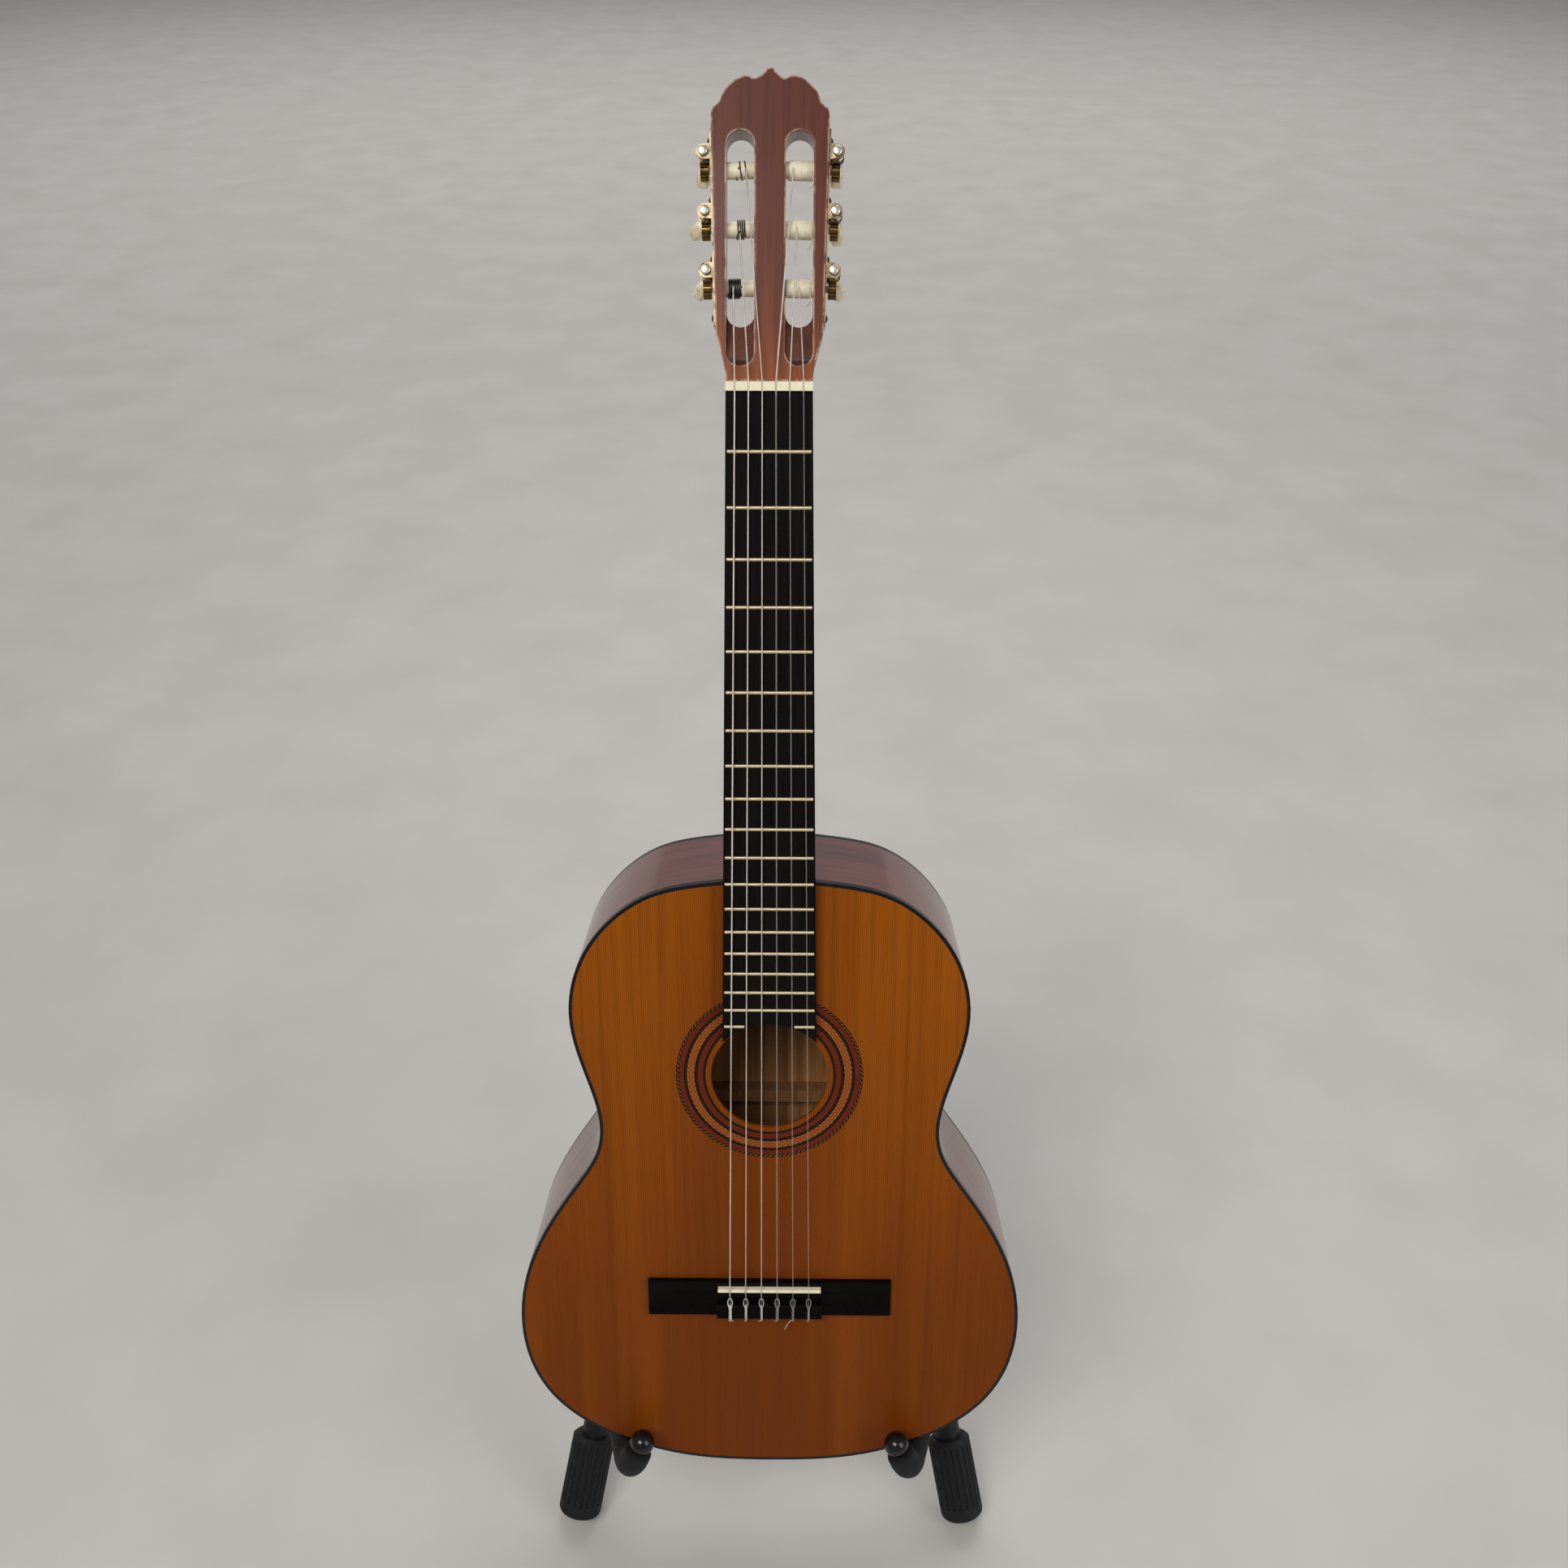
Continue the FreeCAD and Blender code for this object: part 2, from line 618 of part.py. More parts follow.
def fret_bar(number, left, right):
    """One fret between two distances from the centre line: a round crown on a thin tang."""
    rise = size("fret_rise")
    half_crown, half_tang, tang = 1.15, 0.26, 1.9
    corners = [
        Vector(0, half_crown, 0), Vector(0, half_tang, 0), Vector(0, half_tang, -tang),
        Vector(0, -half_tang, -tang), Vector(0, -half_tang, 0), Vector(0, -half_crown, 0),
    ]
    edges = [Part.makeLine(a, b) for a, b in zip(corners, corners[1:])]
    edges.append(Part.Arc(corners[-1], Vector(0, 0, rise), corners[0]).toShape())
    bar = Part.Face(Part.Wire(edges)).extrude(Vector(right - left, 0, 0))
    # the profile's y runs up the guitar and its z towards the player
    bar.Placement = Placement(
        Vector(left, -size("fingerboard_thickness"), fret_height(number)), Rotation(Vector(1, 0, 0), 90)
    )
    return bar


def make_frets():
    bars = []
    for number in range(1, FRET_COUNT + 1):
        half = board_width(fret_height(number)) / 2 - size("fret_inset")
        gap = size("fingerboard_end_radius") ** 2 - (fret_height(number) - 1.3 - size("hole_height")) ** 2
        if gap > 0:
            inner = math.sqrt(gap) + 0.5
            bars += [fret_bar(number, -half, -inner), fret_bar(number, inner, half)]
        else:
            bars.append(fret_bar(number, -half, half))
    node(shaped("frets_group", Part.makeCompound(bars)), "frets", GUITAR)


def string_offset(index, spacing):
    """Distance of a string from the centre line: the lowest string is leftmost."""
    return (index - 2.5) * size(spacing)


def make_nut():
    width = size("nut_width")
    block = box(
        "nut_block", Vector(-width / 2, -size("nut_rise"), size("nut_height")),
        "Sizes.nut_width", "Sizes.nut_rise", "Sizes.nut_thickness",
    )
    slots = []
    for index, radius in enumerate(STRING_RADII):
        x = string_offset(index, "nut_spacing")
        base = Vector(x, nut_string_y(index), size("nut_height") - 1)
        slots.append(cylinder(f"nut_slot_{index + 1}", radius + 0.12, size("nut_thickness") + 2, base))
    node(cut("nut_cut", block, *slots), "nut", GUITAR)


def nut_string_y(index):
    """String centres lie just under the nut's crown."""
    return -size("nut_rise") - STRING_RADII[index] * 0.2


# ------------------------------------------------------------------ head


def head_half_width(height):
    """Half width of the head along its straight sides."""
    low, high = size("roller_first") - 28, HALF_CROWN[0][1]
    share = (height - low) / (high - low)
    return 32.8 + share * (HALF_CROWN[0][0] - 32.8)


def head_outline(bottom):
    """Outline of the head: concave taper from the nut, straight sides, carved crown."""
    nut_half = size("nut_width") / 2
    low = size("roller_first") - 28
    flank = smooth_curve(
        [Vector(nut_half, 0, 0), Vector(nut_half + 1.6, 12, 0), Vector(head_half_width(low), low, 0)],
        Vector(0, 1, 0), Vector(0.3, 1, 0),
    )
    crown = smooth_curve([Vector(x, z, 0) for x, z in HALF_CROWN], Vector(0, 1, 0), Vector(-1, 0, 0))
    side = Part.LineSegment(Vector(head_half_width(low), low, 0), Vector(*HALF_CROWN[0], 0))
    stem = Part.LineSegment(Vector(nut_half, bottom, 0), Vector(nut_half, 0, 0))
    right = [stem, flank, side, crown]
    left = []
    for curve in right:
        mirrored = curve.copy()
        mirrored.mirror(Vector(0, 0, 0), Vector(0, 1, 0))
        left.append(mirrored)
    floor = Part.LineSegment(Vector(-nut_half, bottom, 0), Vector(nut_half, bottom, 0))
    return right + left + [floor]


def head_slot_tools(name):
    """Two through slots with round ends, each with a ramp towards the nut."""
    radius = size("slot_width") / 2
    low, high = size("slot_bottom") + radius, size("slot_top") - radius
    tools = []
    for side, x in (("left", -size("slot_offset")), ("right", size("slot_offset"))):
        low_left, high_left = Vector(x - radius, low, 0), Vector(x - radius, high, 0)
        low_right, high_right = Vector(x + radius, low, 0), Vector(x + radius, high, 0)
        curves = [
            Part.LineSegment(low_left, high_left),
            Part.ArcOfCircle(high_left, Vector(x, high + radius, 0), high_right),
            Part.LineSegment(high_right, low_right),
            Part.ArcOfCircle(low_right, Vector(x, low - radius, 0), low_left),
        ]
        tools.append(prism(f"{name}_slot_{side}", curves, -5, 40))
        start, depth = size("ramp_start"), size("ramp_depth")
        run = low - start
        turn = Rotation(Vector(1, 0, 0), -math.degrees(math.atan(depth / run)))
        foot = Vector(x - radius, 0, start) + turn.multVec(Vector(0, -30, 0))
        wedge = box(f"{name}_wedge_{side}", foot, "Sizes.slot_width", 30, math.hypot(run, depth), turn)
        bend = start + radius
        left_bend, right_bend = Vector(x - radius, bend, 0), Vector(x + radius, bend, 0)
        plan = [
            Part.ArcOfCircle(left_bend, Vector(x, start, 0), right_bend),
            Part.LineSegment(right_bend, low_right),
            Part.LineSegment(low_right, low_left),
            Part.LineSegment(low_left, left_bend),
        ]
        ramp_plan = prism(f"{name}_ramp_plan_{side}", plan, -30, 60)
        tools.append(common(f"{name}_ramp_{side}", wedge, ramp_plan))
    return tools


def below_nut(name):
    """Everything on the neck's side of the plane where the head meets the nut, in the head's frame."""
    turn = Rotation(Vector(1, 0, 0), size("head_tilt"))
    return box(name, turn.multVec(Vector(-60, -60, -90)), 120, 120, 90, turn)


def side_frame(side):
    """Frame on the head's side face at the middle roller: +Z up the side, +Y to the back; side is -1 or 1."""
    middle = size("roller_first") + size("roller_pitch")
    low, high = size("roller_first"), size("roller_first") + 2 * size("roller_pitch")
    splay = math.degrees(math.atan((head_half_width(high) - head_half_width(low)) / (high - low)))
    at = Vector(side * head_half_width(middle), size("roller_depth"), middle)
    return Placement(at, Rotation(Vector(0, 1, 0), side * splay))


def screw_heights():
    """Plate screws lie midway between rollers and beyond the outer ones."""
    pitch = size("roller_pitch")
    return (-1.5 * pitch, -0.5 * pitch, 0.5 * pitch, 1.5 * pitch)


def make_headstock():
    plate, whole = size("headplate_thickness"), size("head_thickness")
    blank = prism("headstock_blank", head_outline(-24), plate, whole - plate)
    tools = head_slot_tools("headstock") + [below_nut("headstock_foot")]
    for side in (-1, 1):
        frame = side_frame(side)
        turn = Rotation(Vector(0, 1, 0), -90 * side)
        for step in (-1, 0, 1):
            base = Vector(2 * side, 0, step * size("roller_pitch"))
            tools.append(cylinder(
                f"roller_bore_{side}_{step}", "Sizes.roller_radius + Sizes.running_gap",
                "Sizes.roller_reach + 2.4", base, turn, frame,
            ))
        for rank, height in enumerate(screw_heights()):
            base = Vector(2 * side, 0, height)
            tools.append(cylinder(f"screw_bore_{side}_{rank}", "Sizes.screw_radius", 9, base, turn, frame))
    node(cut("headstock_cut", blank, *tools), "headstock", HEAD)


def make_headplate():
    veneer = prism("headplate_blank", head_outline(-24), 0, "Sizes.headplate_thickness")
    tools = head_slot_tools("headplate") + [below_nut("headplate_foot")]
    node(cut("headplate_cut", veneer, *tools), "headplate", HEAD)


# ------------------------------------------------------------------ tuning machines


def worm_ears(side, name):
    """Lugs that carry the three worms of one plate, one pair each, with bores for their shafts."""
    ears = []
    thick = size("tuner_plate_thickness")
    rim, round_end = size("tuner_plate_width") / 2, size("lug_radius")
    inner = 0 if side > 0 else -size("worm_offset")
    for step in (-1, 0, 1):
        height = step * size("roller_pitch") + size("worm_rise")
        for rank, start in enumerate((-rim, rim - thick)):
            tag = f"{name}_{step}_{rank}"
            axis = Vector(side * size("worm_offset"), start, height)
            lug = cylinder("lug_" + tag, round_end, thick, axis, ALONG_Y)
            corner = Vector(inner, start, height - round_end)
            web = box("web_" + tag, corner, "Sizes.worm_offset", thick, 2 * round_end)
            ahead = axis - Vector(0, 1, 0)
            bore_radius = "Sizes.shaft_radius + Sizes.running_gap"
            bore = cylinder("bore_" + tag, bore_radius, thick + 2, ahead, ALONG_Y)
            ears.append(cut("ear_" + tag, fuse("ear_solid_" + tag, lug, web), bore))
    return ears


def make_tuner_plates():
    plates = []
    thick = size("tuner_plate_thickness")
    for side, name in ((-1, "left_plate"), (1, "right_plate")):
        left = 0 if side > 0 else -thick
        spans = Vector(thick, size("tuner_plate_width"), size("tuner_plate_length"))
        plate = centred_box(name, Vector(left + thick / 2, 0, 0), spans)
        holes = []
        for step in (-1, 0, 1):
            base = Vector(-3, 0, step * size("roller_pitch"))
            holes.append(cylinder(
                f"{name}_spindle_{step}", "Sizes.spindle_radius + Sizes.running_gap", 6, base, ALONG_X,
            ))
        for rank, height in enumerate(screw_heights()):
            base = Vector(-3, 0, height)
            holes.append(cylinder(f"{name}_hole_{rank}", "Sizes.screw_radius", 6, base, ALONG_X))
        whole = fuse(name + "_whole", cut(name + "_drilled", plate, *holes), *worm_ears(side, name))
        whole.Placement = side_frame(side)
        plates.append(whole)
    node(group("tuner_plates_group", *plates), "tuner_plates", HEAD)


def make_plate_screws():
    screws = []
    for side in (-1, 1):
        face = side * size("tuner_plate_thickness")
        for rank, height in enumerate(screw_heights()):
            name = f"screw_{side}_{rank}"
            outward = Rotation(Vector(0, 1, 0), 90 * side)
            inward = Rotation(Vector(0, 1, 0), -90 * side)
            shank = cylinder(name + "_shank", "Sizes.screw_radius", 8, Vector(face, 0, height), inward)
            ball = DOC.addObject("Part::Sphere", name + "_ball")
            bind(ball, Radius=3.1)
            ball.Placement = Placement(Vector(face - 1.6 * side, 0, height), Rotation())
            room = cylinder(name + "_room", 4, 3, Vector(face, 0, height), outward)
            slot = centred_box(name + "_slot", Vector(face + 1.5 * side, 0, height), (1.2, 0.7, 6))
            head = cut(name + "_head", common(name + "_dome", ball, room), slot)
            screw = fuse(name, shank, head)
            screw.Placement = side_frame(side)
            screws.append(screw)
    node(group("plate_screws_group", *screws), "plate_screws", HEAD)


def tuner_frame(index):
    """Frame of one machine: the head's side face on the roller's axis, and which side it is on."""
    side = -1 if index < 3 else 1
    step = STRING_ROLLERS[index] - 1
    on_side = Placement(Vector(0, 0, step * size("roller_pitch")), Rotation())
    return HEAD * side_frame(side) * on_side, side


def roller_turn(side):
    """Turns a piece drawn along +Z so that it points out of the head's side."""
    return Placement(Vector(), Rotation(Vector(0, 1, 0), 90 * side))


def slot_distance():
    """The middle of a string slot from the head's side face, at the middle roller."""
    return head_half_width(size("roller_first") + size("roller_pitch")) - size("slot_offset")


def make_roller(index):
    """String roller: a wide barrel across the slot and a spindle through plate and gear."""
    number = index + 1
    frame, side = tuner_frame(index)
    barrel, reach, spindle = size("roller_radius"), size("roller_reach"), size("spindle_radius")
    end = size("gear_offset") + size("gear_thickness")
    roller = body(f"roller_{number}_body")
    profile = [
        (0, -reach), (barrel - 0.6, -reach), (barrel, -reach + 0.6), (barrel, -0.3), (spindle, -0.3),
        (spindle, end), (0, end),
    ]
    revolve(roller, body_sketch(roller, "XZ_Plane", f"roller_{number}_profile", polygon(profile)))
    hole = body_sketch(roller, "XZ_Plane", f"roller_{number}_string_hole", [circle(0.8, 0, -slot_distance())])
    feature(roller, "Pocket", hole, Length=20.0, Midplane=True)
    node(roller, f"roller_{number}", frame * roller_turn(side))


def make_gear(index):
    number = index + 1
    frame, side = tuner_frame(index)
    root, tip = size("gear_root_radius"), size("gear_outer_radius")
    gear = body(f"gear_{number}_body")
    start = size("gear_offset")
    ring = [circle(root), circle(size("spindle_radius"))]
    disc = body_sketch(gear, "XY_Plane", f"gear_{number}_disc", ring, start)
    feature(gear, "Pad", disc, Length="Sizes.gear_thickness")
    tooth_plan = polygon([(root - 0.4, -0.75), (tip, -0.38), (tip, 0.38), (root - 0.4, 0.75)])
    tooth = body_sketch(gear, "XY_Plane", f"gear_{number}_tooth", tooth_plan, start)
    polar(gear, feature(gear, "Pad", tooth, Length="Sizes.gear_thickness"), "Sizes.gear_teeth")
    node(gear, f"gear_{number}", frame * roller_turn(side))


def worm_frame(index):
    """Frame of a worm: origin on its axis beside the roller's axis, +Z along the shaft to the button."""
    frame, side = tuner_frame(index)
    at = Vector(side * size("worm_offset"), 0, size("worm_rise"))
    return frame * Placement(at, ALONG_Y)


def make_worm(index):
    """Worm on its shaft: round front end, thread between the lugs, shaft to the button."""
    number = index + 1
    shaft, root, tip = size("shaft_radius"), size("worm_root_radius"), size("worm_radius")
    lug_out = size("tuner_plate_width") / 2
    lug_in = lug_out - size("tuner_plate_thickness")
    end_radius, end_length = 3, 2.9
    profile = [
        (0, -lug_out - end_length), (end_radius - 0.6, -lug_out - end_length),
        (end_radius, -lug_out - end_length + 0.6), (end_radius, -lug_out - 0.2),
        (shaft, -lug_out - 0.2), (shaft, -lug_in + 0.2), (root, -lug_in + 0.2),
    ]
    pitch = size("worm_pitch")
    turns = 4
    for turn in range(turns):
        low = (turn - turns / 2) * pitch
        profile += [(root, low + 0.3), (tip, low + 0.8), (tip, low + 1.6), (root, low + 2.1)]
    shaft_end = button_start() + 5
    profile += [(root, lug_in - 0.2), (shaft, lug_in - 0.2), (shaft, shaft_end), (0, shaft_end)]
    worm = body(f"worm_{number}_body")
    revolve(worm, body_sketch(worm, "XZ_Plane", f"worm_{number}_profile", polygon(profile)))
    node(worm, f"worm_{number}", worm_frame(index))


def button_start():
    """Where the button's collar begins along the worm's shaft."""
    return size("tuner_plate_width") / 2 + 5.5


def make_button(index):
    """Oval pearl button with a short collar, bored for the shaft."""
    number = index + 1
    half_width, half_length = size("button_width") / 2, size("button_length") / 2
    start = button_start()
    centre = start + 2.5 + half_length
    button = body(f"button_{number}_body")
    oval = []
    for step in range(16):
        angle = 2 * math.pi * step / 16
        across = math.copysign(abs(math.cos(angle)) ** 0.85, math.cos(angle))
        oval.append(Vector(half_width * across, centre + half_length * math.sin(angle), 0))
    rim = Part.BSplineCurve()
    rim.interpolate(Points=oval, PeriodicFlag=True)
    plan = body_sketch(button, "XZ_Plane", f"button_{number}_plan", [rim])
    wing = feature(button, "Pad", plan, Length="Sizes.button_thickness", Midplane=True)
    collar = body_sketch(button, "XY_Plane", f"button_{number}_collar", [circle(3.6)], start)
    feature(button, "Pad", collar, Length=6.0)
    DOC.recompute()
    solid = button.Tip
    edges = [
        f"Edge{rank}" for rank, edge in enumerate(solid.Shape.Edges, start=1)
        if abs(abs(edge.CenterOfMass.y) - size("button_thickness") / 2) < 0.01
    ]
    soft = button.newObject("PartDesign::Fillet", wing.Name + "Fillet")
    soft.Base = (solid, edges)
    soft.Radius = 2.6
    bore = body_sketch(button, "XY_Plane", f"button_{number}_bore", [circle(size("shaft_radius"))], start)
    feature(button, "Pocket", bore, Length=5.0, Reversed=True)
    turn = Placement(Vector(), Rotation(Vector(0, 0, 1), BUTTON_TURNS[index] + 90))
    node(button, f"button_{number}", worm_frame(index) * turn)


# ------------------------------------------------------------------ bridge and strings


def make_bridge():
    low, high = size("bridge_bottom"), size("bridge_bottom") + size("bridge_width")
    half = size("bridge_length") / 2
    chamfer = 0.6
    plan = [
        (-half + chamfer, low), (half - chamfer, low), (half, low + chamfer), (half, high - chamfer),
        (half - chamfer, high), (-half + chamfer, high), (-half, high - chamfer), (-half, low + chamfer),
    ]
    wings = prism("bridge_wings", polygon(plan), -size("bridge_wing_rise"), "Sizes.bridge_wing_rise")
    # side view of the middle block: Y out of the soundboard is negative, then height
    top, tie = size("tie_block_rise"), low + size("tie_block_width")
    soft = 0.9
    profile = [
        (0, low), (soft - top, low), (-top, low + soft), (-top, tie - soft), (soft - top, tie), (-4.4, tie),
        (-4.4, tie + 2), (-6.5, tie + 5.5), (-6.5, high - 0.8), (-5.7, high), (0, high),
    ]
    block_half = size("bridge_block_length") / 2
    side = sketch("bridge_block_side", polygon(profile), SIDE, Vector(-block_half, 0, 0))
    block = extrude("bridge_block", side, "Sizes.bridge_block_length", Vector(1, 0, 0))
    saddle_room = centred_box(
        "saddle_slot", Vector(0, -6.5, size("saddle_height")),
        (size("saddle_length"), 6, size("saddle_thickness")),
    )
    tools = [saddle_room]
    dish = size("wing_dish_depth") - size("bridge_wing_rise") - size("wing_dish_radius")
    for name, start in (("left_dish", -half - 1), ("right_dish", block_half)):
        axis = Vector(start, dish, (low + high) / 2)
        tools.append(cylinder(name, "Sizes.wing_dish_radius", half + 1 - block_half, axis, ALONG_X))
    for index, radius in enumerate(STRING_RADII):
        base = Vector(string_offset(index, "saddle_spacing"), -size("tie_hole_rise"), low - 2)
        tools.append(cylinder(f"tie_hole_{index + 1}", radius + 0.15, 18, base))
    node(cut("bridge_cut", fuse("bridge_solid", wings, block), *tools), "bridge", GUITAR)


def make_saddle():
    half, rise, slot_floor = size("saddle_thickness") / 2, size("saddle_rise"), 3.5
    height = size("saddle_height")
    curves = [
        Part.LineSegment(Vector(-slot_floor, height - half, 0), Vector(-rise + 1, height - half, 0)),
        Part.ArcOfCircle(
            Vector(-rise + 1, height - half, 0), Vector(-rise, height, 0), Vector(-rise + 1, height + half, 0)
        ),
        Part.LineSegment(Vector(-rise + 1, height + half, 0), Vector(-slot_floor, height + half, 0)),
        Part.LineSegment(Vector(-slot_floor, height + half, 0), Vector(-slot_floor, height - half, 0)),
    ]
    side = sketch("saddle_side", curves, SIDE, Vector(-size("saddle_length") / 2, 0, 0))
    node(extrude("saddle_bar", side, "Sizes.saddle_length", Vector(1, 0, 0)), "saddle", GUITAR)


def string_shape(index):
    """One string in the guitar's frame: roller, nut, saddle, tie hole, and the loop over the tie block."""
    radius = STRING_RADII[index]
    frame, side = tuner_frame(index)
    low = size("bridge_bottom")
    at_nut = string_offset(index, "nut_spacing")
    at_saddle = string_offset(index, "saddle_spacing")
    # on the roller, the string meets the barrel's front, over the slot
    landing = side * (STRING_LANDINGS[index] - slot_distance())
    touch = frame.multVec(Vector(landing, -size("roller_radius") - radius - 0.3, 0))
    roller_end = GUITAR.inverse().multVec(touch)
    nut_y = nut_string_y(index)
    nut_back = Vector(at_nut, nut_y + 0.1, size("nut_height") + size("nut_thickness") + 0.5)
    nut_front = Vector(at_nut, nut_y, size("nut_height") - 0.2)
    crown = Vector(at_saddle, -size("saddle_rise") - radius - 0.35, size("saddle_height"))
    block = size("tie_block_width")
    hole_in = Vector(at_saddle, -size("tie_hole_rise"), low + block + 0.6)
    hole_out = Vector(at_saddle, -size("tie_hole_rise"), low - 1.4)
    over = -size("tie_block_rise") - radius - 0.25
    # the loop comes back over the block in line with its own hole
    loop_back = Vector(at_saddle, over, low - 1.4)
    loop_front = Vector(at_saddle, over, low + block + 1.4)
    tail = Vector(at_saddle, -7.6, low + block + 1.4)
    points = [roller_end, nut_back, nut_front, crown, hole_in, hole_out, loop_back, loop_front, tail]
    return tube_shape(bent_route(points, (6, 60, 3, 1.6, 1.2, 1.2, 1.1)), radius)


def make_strings():
    for label, members in (("bass_strings", (0, 1, 2)), ("treble_strings", (3, 4, 5))):
        shapes = [string_shape(index) for index in members]
        node(shaped(label + "_group", Part.makeCompound(shapes)), label, GUITAR)


# ------------------------------------------------------------------ stand

LEG_UP = Vector(-0.19, 0.563, 0.804).normalize()  # the right front leg, from its foot upwards


def mirrored(point):
    return Vector(-point.x, point.y, point.z)


def foot_centre(side):
    """Centre of a front foot's end face."""
    return Vector(side * size("foot_spread"), size("front_offset") + size("foot_setback"), size("foot_rise"))


def leg_direction(side):
    return Vector(side * LEG_UP.x, LEG_UP.y, LEG_UP.z)


def crossbar_centre():
    """Axis of the crossbar, set behind the guitar's back by the foam's radius and the contact gap."""
    height = size("crossbar_height")
    clear = size("backrest_radius") + size("contact_gap")
    # the back's outer face, in the guitar's frame, through its lower end
    turn = Rotation(Vector(1, 0, 0), BACK_SLOPE)
    up = GUITAR.Rotation.multVec(turn.multVec(Vector(0, 0, 1)))
    out = GUITAR.Rotation.multVec(turn.multVec(Vector(0, 1, 0)))
    point = GUITAR.multVec(Vector(0, size("tail_depth"), 0)) + out * clear
    point += up * ((height - point.z) / up.z)
    return Vector(0, point.y, height)


def frame_points():
    """Route of the one bent tube: left foot, left bends, right bends, right foot."""
    bar = crossbar_centre()
    start = foot_centre(1) + leg_direction(1) * size("foot_base")
    knee = foot_centre(1) + leg_direction(1) * size("frame_knee")
    shoulder = Vector(size("frame_shoulder"), bar.y, bar.z)
    right = [start, knee, shoulder]
    return [mirrored(point) for point in right] + right[::-1]


def make_front_frame():
    knee, shoulder = size("knee_radius"), size("shoulder_radius")
    route = bent_route(frame_points(), (knee, shoulder, shoulder, knee))
    outer = tube_shape(route, size("tube_radius"))
    inner = tube_shape(route, size("tube_radius") - size("tube_wall"))
    node(shaped("front_frame_tube", outer.cut(inner)), "front_frame")


def make_foot(name):
    """Fluted rubber sleeve, closed below, drawn along +Z from its end face."""
    radius, length, base = size("foot_radius"), size("foot_length"), size("foot_base")
    bore, soft = size("tube_radius"), size("foot_edge")
    bend = soft * (1 - math.sqrt(0.5))
    curves = [
        Part.LineSegment(Vector(0, 0, 0), Vector(radius - soft, 0, 0)),
        Part.ArcOfCircle(
            Vector(radius - soft, 0, 0), Vector(radius - bend, bend, 0), Vector(radius, soft, 0)
        ),
        Part.LineSegment(Vector(radius, soft, 0), Vector(radius, length - 3, 0)),
        Part.LineSegment(Vector(radius, length - 3, 0), Vector(radius - 3, length, 0)),
        Part.LineSegment(Vector(radius - 3, length, 0), Vector(bore, length, 0)),
        Part.LineSegment(Vector(bore, length, 0), Vector(bore, base, 0)),
        Part.LineSegment(Vector(bore, base, 0), Vector(0, base, 0)),
        Part.LineSegment(Vector(0, base, 0), Vector(0, 0, 0)),
    ]
    sleeve = body(name)
    revolve(sleeve, body_sketch(sleeve, "XZ_Plane", name + "_profile", curves))
    groove = circle(size("flute_radius"), radius + 0.4, 0)
    flute = body_sketch(sleeve, "XY_Plane", name + "_flute", [groove], length - 4)
    polar(sleeve, feature(sleeve, "Pocket", flute, Length=length - 17), "Sizes.flute_count")
    return sleeve


def below_floor(name):
    return box(name, Vector(-300, -300, -50), 600, 900, 50)


def make_front_feet():
    feet = []
    for side, name in ((-1, "left_foot"), (1, "right_foot")):
        foot = make_foot(name)
        foot.Placement = Placement(foot_centre(side), Rotation(Vector(0, 0, 1), leg_direction(side)))
        feet.append(foot)
    node(cut("front_feet_cut", group("front_feet_pair", *feet), below_floor("front_floor")), "front_feet")


def make_backrest_pads():
    bar = crossbar_centre()
    length, near = size("backrest_length"), size("backrest_inner")
    pads = []
    for name, start in (("left_pad", -near - length), ("right_pad", near)):
        end = Vector(start, bar.y, bar.z)
        outer = cylinder(name + "_foam", "Sizes.backrest_radius", length, end, ALONG_X)
        inner = cylinder(name + "_core", "Sizes.tube_radius", length + 4, end - Vector(2, 0, 0), ALONG_X)
        pads.append(cut(name, outer, inner))
    node(group("backrest_pads_group", *pads), "backrest_pads")


def hinge_centre():
    """Axis of the rear leg's hinge, behind and below the crossbar."""
    return crossbar_centre() + Vector(0, size("hinge_setback"), -size("hinge_drop"))


def make_hub():
    """Clamp round the crossbar's middle with two cheeks for the rear leg."""
    bar, pivot = crossbar_centre(), hinge_centre()
    half, cheek, round_end = size("hub_width") / 2, size("cheek_width"), size("cheek_radius")
    left_end = Vector(-half, bar.y, bar.z)
    ring = cylinder("hub_ring", "Sizes.tube_radius + Sizes.hub_wall", "Sizes.hub_width", left_end, ALONG_X)
    turn = Rotation(Vector(1, 0, 0), math.degrees(math.atan2(pivot.z - bar.z, pivot.y - bar.y)))
    cheeks = []
    for name, left in (("left_cheek", -half), ("right_cheek", half - cheek)):
        corner = Vector(left, bar.y, bar.z) + turn.multVec(Vector(0, 0, -round_end))
        cheeks += [
            cylinder(name + "_end", "Sizes.cheek_radius", cheek, Vector(left, pivot.y, pivot.z), ALONG_X),
            box(name + "_web", corner, cheek, (pivot - bar).Length, 2 * round_end, turn),
        ]
    solid = fuse("hub_solid", ring, *cheeks)
    past = Vector(5, 0, 0)
    bore = cylinder("hub_bore", "Sizes.tube_radius", "Sizes.hub_width + 10", left_end - past, ALONG_X)
    pin_end = Vector(-half, pivot.y, pivot.z) - past
    pin_bore = cylinder("hub_pin_bore", "Sizes.hinge_radius", "Sizes.hub_width + 10", pin_end, ALONG_X)
    # the cheeks' square corners stay behind the ring's front, clear of the guitar
    front = size("tube_radius") + size("hub_wall")
    trim = box("hub_trim", Vector(-60, bar.y - 60, bar.z - 60), 120, 60 - front, 120)
    node(cut("hub_cut", solid, bore, pin_bore, trim), "hub")


